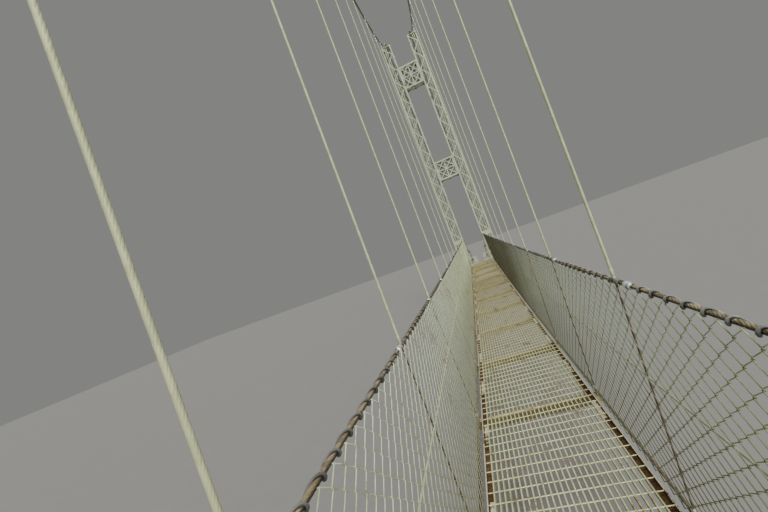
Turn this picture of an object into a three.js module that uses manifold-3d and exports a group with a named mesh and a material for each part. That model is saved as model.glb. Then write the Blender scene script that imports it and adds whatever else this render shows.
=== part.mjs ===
// Wire-rope suspension footbridge between two lattice towers.
// Millimetres. Z is up, Y runs along the bridge, X across it.
// The origin is on the ground, below the middle of the span.

import * as THREE from 'three';
import { mergeVertices } from 'three/addons/utils/BufferGeometryUtils.js';
import Module from 'manifold-3d';

const wasm = await Module();
wasm.setup();

// Clear space between pieces that rest against each other
const seat = 0.3;

// Span and levels
const bay = 1350;
const bays = 16;
const halfSpan = (bay * bays) / 2;
const deckEndLevel = 1000;
const deckSag = 140;

// Deck
const deckHalf = 465;
const edgeAngle = { width: 50, depth: 80, thickness: 8 };
const gratingHalf = 420;
const gratingDepth = 30;
const crossBeamWidth = 60;
const crossBeamDepth = 80;
const crossBeamHalf = 525;
const sectionJoint = 2.5 * bay;

// Handrail, foot rope, hangers and mesh
const railHeight = 1140;
const railHalf = 540;
const railHalfAtTower = 455;
const taperStart = 3 * bay;
const footHalf = 505;
const ropeSides = 8;
const sideRopeRadius = 9;
const middleRopeHeight = 670;
const middleRopeRadius = 4;
const hangerRadius = 7.5;
const hangerSeat = 0.75;
const sideMesh = { thickness: 6, belowDeck: 20, cell: 675, rows: 2, bar: 14 };

// Main cables and saddles
const cableHalf = 560;
const cableRadius = 20;
const cableAngle = THREE.MathUtils.degToRad(33);
const backstayAngle = THREE.MathUtils.degToRad(54);
const saddleBend = 220;
const saddleWidth = 150;
const saddleHeight = 170;
const bendSteps = 6;

// Towers
const legCentre = 590;
const legWidth = 400;
const legChord = 50;
const legBrace = 30;
const legPanels = 14;
const plateThickness = 20;
const towerHeight = 9970;
const anchorPlate = { height: 160, thickness: 12 };
const midBeam = { low: 3810, high: 4610 };
const topBeam = { low: 7950, high: 8890 };
const beamChord = 50;
const beamBrace = 30;
const bearer = { depth: 140, width: 100 };
const sill = { depth: 100, width: 100 };

// Concrete
const footing = { halfWidth: 1100, halfLength: 450, height: 300 };
const anchorBlock = { width: 800, length: 1300, height: 760, nose: 150 };

const legInner = legCentre - legWidth / 2;
const towerFace = halfSpan - legWidth / 2;
const capLevel = deckEndLevel + towerHeight;

const finish = {
  tower: new THREE.MeshStandardMaterial({ color: 0x9da696, roughness: 0.6, metalness: 0.5 }),
  deck: new THREE.MeshStandardMaterial({ color: 0x6e4b35, roughness: 0.8, metalness: 0.4 }),
  grating: new THREE.MeshStandardMaterial({ color: 0xa89a72, roughness: 0.65, metalness: 0.5 }),
  rope: new THREE.MeshStandardMaterial({ color: 0x9a8d76, roughness: 0.6, metalness: 0.5 }),
  mesh: new THREE.MeshStandardMaterial({ color: 0x8a9080, roughness: 0.6, metalness: 0.6 }),
  saddle: new THREE.MeshStandardMaterial({ color: 0x70746c, roughness: 0.6, metalness: 0.6 }),
  concrete: new THREE.MeshStandardMaterial({ color: 0x8f8d84, roughness: 0.95, metalness: 0 }),
};

const bridge = new THREE.Group();

function addPiece(name, geometry, material) {
  const mesh = new THREE.Mesh(geometry, material);
  mesh.name = name;
  bridge.add(mesh);
  return mesh;
}

// Height of the walking surface: straight in each bay, with its joints on a shallow parabola
function deckLevel(y) {
  const jointLevel = (k) => deckEndLevel - deckSag * (1 - ((k * bay) / halfSpan) ** 2);
  const before = Math.floor(y / bay);
  const share = y / bay - before;
  return jointLevel(before) * (1 - share) + jointLevel(before + 1) * share;
}

// Distance of a handrail from the centre line: straight, then drawn in towards the towers
function railOffset(y) {
  const past = Math.max(0, Math.abs(y) - taperStart);
  const share = past / (towerFace - taperStart);
  return railHalf - (railHalf - railHalfAtTower) * share;
}

function boxBetween(low, high) {
  const size = new THREE.Vector3().subVectors(high, low);
  const middle = new THREE.Vector3().addVectors(low, high).multiplyScalar(0.5);
  return new THREE.BoxGeometry(size.x, size.y, size.z).translate(middle.x, middle.y, middle.z);
}

// A bar from one point to another, with its depth measured along the direction that it faces
function barBetween(start, end, width, facing, depth = width) {
  const along = new THREE.Vector3().subVectors(end, start);
  const length = along.length();
  along.normalize();
  const across = new THREE.Vector3().crossVectors(along, facing).normalize();
  const out = new THREE.Vector3().crossVectors(across, along);
  const turn = new THREE.Matrix4().makeBasis(across, along, out);
  turn.setPosition(new THREE.Vector3().addVectors(start, end).multiplyScalar(0.5));
  return new THREE.BoxGeometry(width, length, depth).applyMatrix4(turn);
}

// A rope through points that lie in a nearly upright plane along Y, its flats at the radius
function ropeThrough(points, radius) {
  const sides = ropeSides;
  const corner = radius / Math.cos(Math.PI / sides);
  const positions = [];
  const index = [];
  points.forEach((point, i) => {
    const before = points[Math.max(i - 1, 0)];
    const after = points[Math.min(i + 1, points.length - 1)];
    const along = new THREE.Vector3().subVectors(after, before).normalize();
    const across = new THREE.Vector3(1, 0, 0).addScaledVector(along, -along.x).normalize();
    const up = new THREE.Vector3().crossVectors(across, along);
    for (let side = 0; side < sides; side += 1) {
      const angle = (2 * Math.PI * (side + 0.5)) / sides;
      const ringPoint = point.clone();
      ringPoint.addScaledVector(across, corner * Math.cos(angle));
      ringPoint.addScaledVector(up, corner * Math.sin(angle));
      positions.push(ringPoint.x, ringPoint.y, ringPoint.z);
    }
  });
  for (let i = 0; i + 1 < points.length; i += 1) {
    for (let side = 0; side < sides; side += 1) {
      const a = i * sides + side;
      const b = i * sides + ((side + 1) % sides);
      index.push(a, a + sides, b, b, a + sides, b + sides);
    }
  }
  const last = (points.length - 1) * sides;
  for (let side = 1; side + 1 < sides; side += 1) {
    index.push(0, side, side + 1);
    index.push(last, last + side + 1, last + side);
  }
  const rope = new THREE.BufferGeometry();
  rope.setAttribute('position', new THREE.Float32BufferAttribute(positions, 3));
  rope.setIndex(index);
  return rope;
}

function toSolid(geometry) {
  const bare = geometry.clone();
  bare.deleteAttribute('normal');
  bare.deleteAttribute('uv');
  const merged = mergeVertices(bare, 1e-4);
  const mesh = new wasm.Mesh({
    numProp: 3,
    vertProperties: new Float32Array(merged.attributes.position.array),
    triVerts: new Uint32Array(merged.index.array),
  });
  return new wasm.Manifold(mesh);
}

function joinAll(geometries) {
  let solid = toSolid(geometries[0]);
  for (const geometry of geometries.slice(1)) {
    solid = solid.add(toSolid(geometry));
  }
  const mesh = solid.getMesh();
  const joined = new THREE.BufferGeometry();
  joined.setAttribute('position', new THREE.Float32BufferAttribute(mesh.vertProperties, 3));
  joined.setIndex(new THREE.Uint32BufferAttribute(mesh.triVerts, 1));
  return joined;
}

// Lattice leg: four corner chords, zigzag bracing on each face, base and cap plates
function legGeometry(centreX, centreY, end) {
  const low = footing.height + seat;
  const reach = (legWidth - legChord) / 2;
  const pieces = [];
  const corners = [[1, 1], [-1, 1], [-1, -1], [1, -1]];
  const cornerAt = ([sx, sy], z) => new THREE.Vector3(centreX + sx * reach, centreY + sy * reach, z);
  for (const corner of corners) {
    const facing = new THREE.Vector3(1, 0, 0);
    pieces.push(barBetween(cornerAt(corner, low), cornerAt(corner, capLevel), legChord, facing));
  }
  const bottom = low + plateThickness;
  const panel = (capLevel - plateThickness - bottom) / legPanels;
  corners.forEach((corner, i) => {
    const next = corners[(i + 1) % corners.length];
    const facing = new THREE.Vector3(corner[0] + next[0], corner[1] + next[1], 0).normalize();
    for (let k = 0; k < legPanels; k += 1) {
      const from = k % 2 === 0 ? corner : next;
      const to = k % 2 === 0 ? next : corner;
      const start = cornerAt(from, bottom + k * panel);
      const top = cornerAt(to, bottom + (k + 1) * panel);
      pieces.push(barBetween(start, top, legBrace, facing));
    }
  });
  const half = legWidth / 2;
  for (const level of [low, capLevel - plateThickness]) {
    pieces.push(boxBetween(
      new THREE.Vector3(centreX - half, centreY - half, level),
      new THREE.Vector3(centreX + half, centreY + half, level + plateThickness),
    ));
  }
  // Plates that hold the ends of the handrail and the foot rope, on the face towards the span
  const plateNear = centreY - end * half;
  const plateFar = plateNear + end * anchorPlate.thickness;
  for (const height of [railHeight, 0]) {
    const middle = deckEndLevel + height;
    pieces.push(boxBetween(
      new THREE.Vector3(centreX - half, Math.min(plateNear, plateFar), middle - anchorPlate.height / 2),
      new THREE.Vector3(centreX + half, Math.max(plateNear, plateFar), middle + anchorPlate.height / 2),
    ));
  }
  return joinAll(pieces);
}

// Box truss between the two legs of a tower
function beamGeometry(centreY, beam) {
  const half = legInner - seat;
  const low = deckEndLevel + beam.low + beamChord / 2;
  const high = deckEndLevel + beam.high - beamChord / 2;
  const reach = (legWidth - beamChord) / 2;
  const pieces = [];
  const facing = new THREE.Vector3(0, 1, 0);
  for (const y of [centreY - reach, centreY + reach]) {
    for (const z of [low, high]) {
      pieces.push(barBetween(
        new THREE.Vector3(-half, y, z), new THREE.Vector3(half, y, z), beamChord, facing,
      ));
    }
    for (const x of [beamChord / 2 - half, 0, half - beamChord / 2]) {
      pieces.push(barBetween(
        new THREE.Vector3(x, y, low), new THREE.Vector3(x, y, high), beamChord, facing,
      ));
    }
    for (const side of [-1, 1]) {
      const outer = side * (half - beamChord / 2);
      pieces.push(barBetween(
        new THREE.Vector3(0, y, low), new THREE.Vector3(outer, y, high), beamBrace, facing,
      ));
      pieces.push(barBetween(
        new THREE.Vector3(0, y, high), new THREE.Vector3(outer, y, low), beamBrace, facing,
      ));
    }
  }
  for (const z of [low, high]) {
    for (const x of [beamChord / 2 - half, 0, half - beamChord / 2]) {
      pieces.push(barBetween(
        new THREE.Vector3(x, centreY - reach, z), new THREE.Vector3(x, centreY + reach, z),
        beamBrace, new THREE.Vector3(0, 0, 1),
      ));
    }
  }
  return joinAll(pieces);
}

// Path of a main cable in its upright plane, from one anchor block over both saddles to the other
const crownLevel = capLevel + seat + saddleHeight + seat + cableRadius;
const bendCentre = crownLevel - saddleBend;
const leaveY = halfSpan - saddleBend * Math.sin(cableAngle);
const leaveZ = bendCentre + saddleBend * Math.cos(cableAngle);
const cableCurve = Math.tan(cableAngle) / (2 * leaveY);
const cableMiddle = leaveZ - cableCurve * leaveY * leaveY;
const stayY = halfSpan + saddleBend * Math.sin(backstayAngle);
const stayZ = bendCentre + saddleBend * Math.cos(backstayAngle);
const stayFootZ = anchorBlock.height - anchorBlock.nose;
const stayFootY = stayY + (stayZ - stayFootZ) / Math.tan(backstayAngle);

function cableLevel(y) {
  return cableMiddle + cableCurve * y * y;
}

function cablePath() {
  const half = [];
  for (let k = 0; k * bay < leaveY; k += 1) {
    half.push([k * bay, cableLevel(k * bay)]);
  }
  for (let i = 0; i <= bendSteps; i += 1) {
    const angle = -cableAngle + ((cableAngle + backstayAngle) * i) / bendSteps;
    half.push([halfSpan + saddleBend * Math.sin(angle), bendCentre + saddleBend * Math.cos(angle)]);
  }
  half.push([stayFootY, stayFootZ]);
  const mirrored = half.slice(1).reverse().map(([y, z]) => [-y, z]);
  return [...mirrored, ...half];
}

function addMainCable(name, side) {
  const points = cablePath().map(([y, z]) => new THREE.Vector3(side * cableHalf, y, z));
  addPiece(name, ropeThrough(points, cableRadius), finish.rope);
}

// Distance of the leaning side from the centre line, at a height above the deck
function sideOffset(y, height) {
  return footHalf + ((railOffset(y) - footHalf) * height) / railHeight;
}

function sidePoint(side, y, height) {
  return new THREE.Vector3(side * sideOffset(y, height), y, deckLevel(y) + height);
}

// A rope along one side of the deck, from tower to tower
function sideRope(side, height, radius) {
  const ends = towerFace - seat;
  const points = [];
  for (let k = -bays / 2; k <= bays / 2; k += 1) {
    points.push(sidePoint(side, THREE.MathUtils.clamp(k * bay, -ends, ends), height));
  }
  return ropeThrough(points, radius);
}

// Handrail, middle and foot ropes, with the hangers that tie them to the main cable and the deck
function sideRopesGeometry(side) {
  const pieces = [
    sideRope(side, railHeight, sideRopeRadius),
    sideRope(side, middleRopeHeight, middleRopeRadius),
    sideRope(side, 0, sideRopeRadius),
  ];
  for (let k = 1 - bays / 2; k < bays / 2; k += 1) {
    const y = k * bay;
    const slope = 2 * cableCurve * (Math.abs(y) + bay / 2);
    const clear = cableRadius * Math.hypot(1, slope) + hangerRadius * slope + seat;
    const top = new THREE.Vector3(side * cableHalf, y, cableLevel(y) - clear);
    const atRail = sidePoint(side, y, railHeight);
    const atFoot = sidePoint(side, y, hangerSeat - gratingDepth);
    pieces.push(barBetween(atFoot, atRail, 2 * hangerRadius, new THREE.Vector3(0, 1, 0)));
    pieces.push(barBetween(atRail, top, 2 * hangerRadius, new THREE.Vector3(0, 1, 0)));
  }
  return joinAll(pieces);
}

// A box along Y that bends at every bay joint, so that it follows the deck
function saggedBox(lowX, highX, startY, endY, below, above) {
  const stops = [startY];
  for (let k = Math.ceil(startY / bay); k * bay < endY; k += 1) {
    if (k * bay > startY) {
      stops.push(k * bay);
    }
  }
  stops.push(endY);
  const lengths = stops.length - 1;
  const geometry = new THREE.BoxGeometry(highX - lowX, 1, below + above, 1, lengths, 1);
  geometry.translate((lowX + highX) / 2, 0, (above - below) / 2);
  const position = geometry.attributes.position;
  for (let i = 0; i < position.count; i += 1) {
    const y = stops[Math.round((position.getY(i) + 0.5) * lengths)];
    position.setY(i, y);
    position.setZ(i, position.getZ(i) + deckLevel(y));
  }
  return geometry;
}

const sections = [
  { name: 'south', start: seat - towerFace, end: -sectionJoint - seat },
  { name: 'middle', start: -sectionJoint, end: sectionJoint },
  { name: 'north', start: sectionJoint + seat, end: towerFace - seat },
];

function crossBeam(y, half) {
  const reach = crossBeamWidth / 2;
  return saggedBox(-half, half, y - reach, y + reach, gratingDepth + crossBeamDepth, -gratingDepth);
}

// Edge angles and cross beams of one deck section
function deckFrameGeometry(section) {
  const inner = deckHalf - edgeAngle.width;
  const web = deckHalf - edgeAngle.thickness;
  const ledge = gratingDepth + edgeAngle.thickness;
  const pieces = [
    saggedBox(web, deckHalf, section.start, section.end, edgeAngle.depth, 0),
    saggedBox(-deckHalf, -web, section.start, section.end, edgeAngle.depth, 0),
    saggedBox(inner, deckHalf, section.start, section.end, ledge, -gratingDepth),
    saggedBox(-deckHalf, -inner, section.start, section.end, ledge, -gratingDepth),
  ];
  for (let k = 1 - bays / 2; k < bays / 2; k += 1) {
    const y = k * bay;
    if (y > section.start && y < section.end) {
      pieces.push(crossBeam(y, crossBeamHalf));
    }
  }
  for (const end of [-1, 1]) {
    const y = end * (towerFace - seat - crossBeamWidth / 2);
    if (y > section.start && y < section.end) {
      pieces.push(crossBeam(y, deckHalf));
    }
  }
  return joinAll(pieces);
}

function addDeck() {
  for (const section of sections) {
    addPiece(`${section.name}_deck_frame`, deckFrameGeometry(section), finish.deck);
    const { start, end } = section;
    const grating = saggedBox(-gratingHalf, gratingHalf, start, end, gratingDepth - seat, 0);
    addPiece(`${section.name}_grating`, grating, finish.grating);
  }
}

// Side mesh of one section: a net of crossing flat bars, joined flat and then leaned and sagged
function meshWallGeometry(section, side) {
  const { bar, thickness, belowDeck, rows } = sideMesh;
  const start = section.start + bar;
  const cells = Math.round((section.end - section.start) / sideMesh.cell);
  const cellWidth = (section.end - bar - start) / cells;
  const cellHeight = (railHeight + belowDeck) / rows;
  const point = (u, v) => new THREE.Vector3(0, start + u * cellWidth, v * cellHeight - belowDeck);
  const facing = new THREE.Vector3(1, 0, 0);
  const bars = [];
  for (let k = 1 - rows; k < cells; k += 1) {
    const from = Math.max(k, 0);
    const to = Math.min(k + rows, cells);
    bars.push(barBetween(point(from, from - k), point(to, to - k), bar, facing, thickness));
    bars.push(barBetween(point(from, rows - from + k), point(to, rows - to + k), bar, facing, thickness));
  }
  const net = joinAll(bars);
  const fromLine = sideRopeRadius + seat + thickness / 2;
  const position = net.attributes.position;
  for (let i = 0; i < position.count; i += 1) {
    const y = position.getY(i);
    const height = position.getZ(i);
    const x = side * (sideOffset(y, height) - fromLine) + position.getX(i);
    position.setXYZ(i, x, y, deckLevel(y) + height);
  }
  return net;
}

function addMeshWalls(name, side) {
  for (const section of sections) {
    addPiece(`${section.name}_${name}_mesh`, meshWallGeometry(section, side), finish.mesh);
  }
}

// Saddle with a round top that the cable bends over
function saddleGeometry(centreX, end) {
  const radius = saddleBend - cableRadius - seat;
  const base = capLevel + seat;
  const centreLevel = base + saddleHeight - radius;
  const outline = new THREE.Shape();
  outline.moveTo(-radius * Math.sin(cableAngle), base);
  for (let i = 0; i <= bendSteps; i += 1) {
    const angle = -cableAngle + ((cableAngle + backstayAngle) * i) / bendSteps;
    outline.lineTo(radius * Math.sin(angle), centreLevel + radius * Math.cos(angle));
  }
  outline.lineTo(radius * Math.sin(backstayAngle), base);
  const saddle = new THREE.ExtrudeGeometry(outline, { depth: saddleWidth, bevelEnabled: false, steps: 1 });
  return placeProfile(saddle, centreX, saddleWidth, halfSpan, end);
}

// Turns an extruded outline so that its x runs outwards along Y and its y upwards
function placeProfile(geometry, centreX, width, offset, end) {
  geometry.rotateX(Math.PI / 2);
  geometry.rotateZ(end * Math.PI / 2);
  geometry.translate(centreX - (end * width) / 2, end * offset, 0);
  return geometry;
}

// Concrete block at the foot of a backstay, with a nose square to the cable
function anchorBlockGeometry(centreX, end) {
  const back = anchorBlock.length / 2;
  const noseY = Math.sin(backstayAngle);
  const noseZ = Math.cos(backstayAngle);
  const middle = [noseY * seat, stayFootZ - noseZ * seat];
  const drop = anchorBlock.nose;
  const run = (drop * noseZ) / noseY;
  const outline = new THREE.Shape();
  outline.moveTo(-back, 0);
  outline.lineTo(back, 0);
  outline.lineTo(back, middle[1] + drop);
  outline.lineTo(middle[0] + (drop * noseY) / noseZ, middle[1] + drop);
  outline.lineTo(middle[0] - (drop * noseY) / noseZ, middle[1] - drop);
  outline.lineTo(-back, middle[1] - drop - run);
  const shape = { depth: anchorBlock.width, bevelEnabled: false, steps: 1 };
  const block = new THREE.ExtrudeGeometry(outline, shape);
  return placeProfile(block, centreX, anchorBlock.width, stayFootY, end);
}

function footingGeometry(centreY) {
  return boxBetween(
    new THREE.Vector3(-footing.halfWidth, centreY - footing.halfLength, 0),
    new THREE.Vector3(footing.halfWidth, centreY + footing.halfLength, footing.height),
  );
}

// Beam across the face of both legs that carries the end of the deck
function bearerGeometry(end) {
  const near = end * (towerFace - seat);
  const far = end * (towerFace - seat - bearer.width);
  const carried = deckLevel(towerFace - seat - crossBeamWidth);
  const top = carried - gratingDepth - crossBeamDepth - seat;
  return boxBetween(
    new THREE.Vector3(-legCentre - legWidth / 2, Math.min(near, far), top - bearer.depth),
    new THREE.Vector3(legCentre + legWidth / 2, Math.max(near, far), top),
  );
}

// Walking plate between the legs, on its own sill
function thresholdGeometry(end) {
  const half = legInner - seat;
  const near = towerFace + seat;
  const far = towerFace + legWidth;
  const plate = boxBetween(
    new THREE.Vector3(-half, Math.min(end * near, end * far), deckEndLevel - gratingDepth),
    new THREE.Vector3(half, Math.max(end * near, end * far), deckEndLevel),
  );
  const beam = boxBetween(
    new THREE.Vector3(-half, end * halfSpan - sill.width / 2, deckEndLevel - gratingDepth - sill.depth),
    new THREE.Vector3(half, end * halfSpan + sill.width / 2, deckEndLevel - gratingDepth / 2),
  );
  return joinAll([plate, beam]);
}

function addTower(name, end) {
  const centreY = end * halfSpan;
  for (const [sideName, side] of [['left', -1], ['right', 1]]) {
    const centreX = side * legCentre;
    addPiece(`${name}_${sideName}_leg`, legGeometry(centreX, centreY, end), finish.tower);
    addPiece(`${name}_${sideName}_saddle`, saddleGeometry(side * cableHalf, end), finish.saddle);
    const block = anchorBlockGeometry(side * cableHalf, end);
    addPiece(`${name}_${sideName}_anchor_block`, block, finish.concrete);
  }
  addPiece(`${name}_top_beam`, beamGeometry(centreY, topBeam), finish.tower);
  addPiece(`${name}_middle_beam`, beamGeometry(centreY, midBeam), finish.tower);
  addPiece(`${name}_bearer`, bearerGeometry(end), finish.tower);
  addPiece(`${name}_threshold`, thresholdGeometry(end), finish.deck);
  addPiece(`${name}_footing`, footingGeometry(centreY), finish.concrete);
}

addTower('south', -1);
addTower('north', 1);
addDeck();
for (const [name, side] of [['left', -1], ['right', 1]]) {
  addMainCable(`${name}_main_cable`, side);
  addPiece(`${name}_side_ropes`, sideRopesGeometry(side), finish.rope);
  addMeshWalls(name, side);
}

export default bridge;
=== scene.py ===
# %% [markdown]
# A wire-rope footbridge hangs between two lattice towers. The packed model already holds every
# piece at its real size and place. This notebook dresses those pieces: it makes the grating bars,
# the woven mesh, the stranded ropes and the bolted towers that the plain solids stand for.

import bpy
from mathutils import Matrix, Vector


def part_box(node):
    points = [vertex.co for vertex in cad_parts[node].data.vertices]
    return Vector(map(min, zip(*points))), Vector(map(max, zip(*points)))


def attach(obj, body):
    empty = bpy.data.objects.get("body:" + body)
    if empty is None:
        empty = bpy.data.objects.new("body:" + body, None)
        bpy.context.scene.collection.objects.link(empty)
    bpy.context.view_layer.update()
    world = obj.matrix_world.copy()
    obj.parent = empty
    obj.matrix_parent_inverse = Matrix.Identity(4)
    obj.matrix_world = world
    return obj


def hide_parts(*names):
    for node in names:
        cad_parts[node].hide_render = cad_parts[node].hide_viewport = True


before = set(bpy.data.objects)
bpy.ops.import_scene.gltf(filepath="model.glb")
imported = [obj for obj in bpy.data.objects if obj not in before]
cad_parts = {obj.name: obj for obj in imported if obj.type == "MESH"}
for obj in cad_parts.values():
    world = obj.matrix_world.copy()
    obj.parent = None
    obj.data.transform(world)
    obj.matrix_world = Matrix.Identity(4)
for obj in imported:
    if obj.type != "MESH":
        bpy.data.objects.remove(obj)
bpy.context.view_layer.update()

# %% [markdown]
# The pieces are placed from the packed model. A few boxes give the towers, the deck and the legs.
# The bays, the sag and the sizes of the ropes are driving dimensions in metres, the same ones that
# the solids were made with. Pieces that meet leave a seam of 0.3 mm, so no two faces share a place.

# %% Measures of the bridge
import math

import bmesh
import bpy
import numpy as np
from mathutils import Matrix, Vector

footing_low, footing_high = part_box("north_footing")
leg_low, leg_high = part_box("north_right_leg")
_, threshold_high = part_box("north_threshold")
cable_low, cable_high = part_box("right_main_cable")
block_low, block_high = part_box("north_right_anchor_block")

TOWER_Y = (footing_low.y + footing_high.y) / 2
TOWER_FACE = leg_low.y
LEG_X = (leg_low.x + leg_high.x) / 2
LEG_HALF = (leg_high.x - leg_low.x) / 2
DECK_END = threshold_high.z
CABLE_X = (cable_low.x + cable_high.x) / 2
BAYS = 16
BAY = 2 * TOWER_Y / BAYS
DECK_SAG = 0.140
RAIL_HEIGHT = 1.140
MIDDLE_ROPE_HEIGHT = 0.670
RAIL_X = 0.540
RAIL_X_AT_TOWER = 0.455
TAPER_START = 3 * BAY
FOOT_X = 0.505
DECK_HALF = 0.465
GRATING_HALF = 0.420
GRATING_DEPTH = 0.030
UPRIGHT_THICKNESS = 0.008
SEAM = 0.0003
SECTION_JOINT = 2.5 * BAY
SECTIONS = [
    ("south", SEAM - TOWER_FACE, -SECTION_JOINT - SEAM),
    ("middle", -SECTION_JOINT, SECTION_JOINT),
    ("north", SECTION_JOINT + SEAM, TOWER_FACE - SEAM),
]
SIDES = [("left", -1), ("right", 1)]
ENDS = [("south", -1), ("north", 1)]
print("bay", round(BAY, 3), "towers at", round(TOWER_Y, 3), "cables at", round(CABLE_X, 3))

# %% [markdown]
# The deck hangs in straight bays whose joints lie on a shallow parabola, and the handrails draw in
# towards the towers. Every rope, bar and wire is placed by these three functions, so all of them
# stay on the same curve.

# %% Lines of the deck and of the sides
def joint_level(k):
    return DECK_END - DECK_SAG * (1 - (k * BAY / TOWER_Y) ** 2)


def deck_level(y):
    before = np.floor(np.asarray(y, float) / BAY)
    share = y / BAY - before
    return joint_level(before) * (1 - share) + joint_level(before + 1) * share


def rail_offset(y):
    past = np.maximum(0, np.abs(y) - TAPER_START)
    return RAIL_X - (RAIL_X - RAIL_X_AT_TOWER) * past / (TOWER_FACE - TAPER_START)


def side_point(side, y, height, inwards=0.0):
    """A point of a leaning side: height above the deck, and a distance inside the ropes' line."""
    y = np.asarray(y, float)
    line = FOOT_X + (rail_offset(y) - FOOT_X) * height / RAIL_HEIGHT - inwards
    return np.stack([side * line, y, deck_level(y) + height], axis=-1)


def bay_stops(start, end):
    """Places along the deck between two ends, with one at every bay joint."""
    joints = [k * BAY for k in range(math.ceil(start / BAY), math.floor(end / BAY) + 1)]
    return [start] + [y for y in joints if start + SEAM < y < end - SEAM] + [end]


print("deck falls from", round(DECK_END, 3), "to", round(float(deck_level(0.0)), 3))

# %% [markdown]
# All metalwork here is bars, plates, bolts and ropes, so one small collector is enough: it takes
# closed shapes made of four-sided faces and turns them into one mesh. Writing the points with
# numpy is quicker than adding a hundred thousand objects, and each shape's faces are turned
# outwards by the sign of its volume.

# %% A collector of closed shapes
class Shapes:
    """Closed shapes that become one mesh, each with a texture coordinate for every corner."""

    def __init__(self):
        self.points = []
        self.quads = []
        self.uvs = []
        self.count = 0

    def add(self, points, quads, uvs=None):
        points = np.asarray(points, float)
        quads = np.asarray(quads, int)
        uvs = np.zeros((len(quads), 4, 2)) if uvs is None else uvs
        a, b, c, d = np.moveaxis(points[quads] - points[0], 1, 0)
        volume = np.sum(np.cross(a, b) * c) + np.sum(np.cross(a, c) * d)
        if volume < 0:
            quads = quads[:, ::-1]
            uvs = uvs[:, ::-1]
        self.points.append(points)
        self.quads.append(quads + self.count)
        self.uvs.append(uvs)
        self.count += len(points)

    def piece(self, name, material, slot, smooth=False):
        points = np.concatenate(self.points)
        quads = np.concatenate(self.quads)
        mesh = bpy.data.meshes.new(name)
        mesh.vertices.add(len(points))
        mesh.vertices.foreach_set("co", points.astype(np.float32).ravel())
        mesh.loops.add(quads.size)
        mesh.loops.foreach_set("vertex_index", quads.astype(np.int32).ravel())
        mesh.polygons.add(len(quads))
        mesh.polygons.foreach_set("loop_start", np.arange(0, quads.size, 4, dtype=np.int32))
        mesh.polygons.foreach_set("use_smooth", np.full(len(quads), smooth))
        uvs = np.concatenate(self.uvs).astype(np.float32)
        mesh.uv_layers.new(name="UVMap").data.foreach_set("uv", uvs.ravel())
        mesh.update(calc_edges=True)
        mesh.validate()
        return place_mesh(name, mesh, material)


triangle_counts = {}


def place_mesh(name, mesh, material):
    piece = bpy.data.objects.new(name, mesh)
    bpy.context.scene.collection.objects.link(piece)
    piece.data.materials.append(material)
    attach(piece, "root")
    triangle_counts[name] = sum(len(face.vertices) - 2 for face in mesh.polygons)
    return piece


print("the collector can", [name for name in vars(Shapes) if not name.startswith("_")])

# %% [markdown]
# Ropes and rails are an outline carried along a path. At every stop the outline stands square to
# the path, and it can be turned for a twisted rod or scaled for a knot. The caps list says how an
# outline is closed with four-sided faces, also where it has a hollow corner.

# %% Outlines carried along a path
FOUR_SIDED = [(0, 1, 2, 3)]
END_RING = 0.001


def unit(vector):
    vector = np.asarray(vector, float)
    return vector / np.linalg.norm(vector)


def fan_caps(count):
    return [(0, i, i + 1, i + 2) for i in range(1, count - 2, 2)]


def ring_quads(rings, count, caps):
    """The walls between rings of points that follow each other, and the caps at both ends."""
    ring = np.arange(count)
    turned = np.roll(ring, -1)
    first = np.stack([ring, turned, turned + count, ring + count], axis=1)
    walls = (first[None] + np.arange(rings - 1)[:, None, None] * count).reshape(-1, 4)
    caps = np.array(caps)
    return np.concatenate([walls, caps[:, ::-1], caps + (rings - 1) * count])


def path_frame(path, up):
    """Two directions square to the path at every stop: sideways and upwards."""
    steps = np.diff(path, axis=0)
    steps /= np.linalg.norm(steps, axis=1)[:, None]
    along = np.concatenate([steps[:1], steps[:-1] + steps[1:], steps[-1:]])
    along /= np.linalg.norm(along, axis=1)[:, None]
    across = np.cross(along, np.asarray(up, float))
    across /= np.linalg.norm(across, axis=1)[:, None]
    return across, np.cross(across, along)


def wall_uvs(path, count):
    """Texture coordinates of the walls: the share of a turn, and metres along the path."""
    reach = np.concatenate([[0], np.cumsum(np.linalg.norm(np.diff(path, axis=0), axis=1))])
    around = np.arange(count) / count
    low = np.stack(np.meshgrid(around, reach[:-1], indexing="xy"), axis=-1).reshape(-1, 2)
    high = np.stack(np.meshgrid(around, reach[1:], indexing="xy"), axis=-1).reshape(-1, 2)
    beside = [1 / count, 0]
    return np.stack([low, low + beside, high + beside, high], axis=1)


def sweep(shapes, path, outline, caps, up=(0, 0, 1), turns=None, scales=None):
    """Carries an outline of [sideways, upwards] points along a path, twisted by turns in radians."""
    path = np.asarray(path, float)
    outline = np.asarray(outline, float)
    across, above = path_frame(path, up)
    turns = np.zeros(len(path)) if turns is None else np.asarray(turns)
    scales = np.ones(len(path)) if scales is None else np.asarray(scales)
    cos, sin = np.cos(turns)[:, None], np.sin(turns)[:, None]
    u = (outline[:, 0] * cos - outline[:, 1] * sin) * scales[:, None]
    v = (outline[:, 0] * sin + outline[:, 1] * cos) * scales[:, None]
    points = path[:, None] + u[..., None] * across[:, None] + v[..., None] * above[:, None]
    quads = ring_quads(len(path), len(outline), caps)
    walls = wall_uvs(path, len(outline))
    uvs = np.zeros((len(quads), 4, 2))
    uvs[: len(walls)] = walls
    shapes.add(points.reshape(-1, 3), quads, uvs)


def round_outline(radius, count):
    angles = 2 * math.pi * np.arange(count) / count
    return np.stack([radius * np.cos(angles), radius * np.sin(angles)], axis=1)


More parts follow.
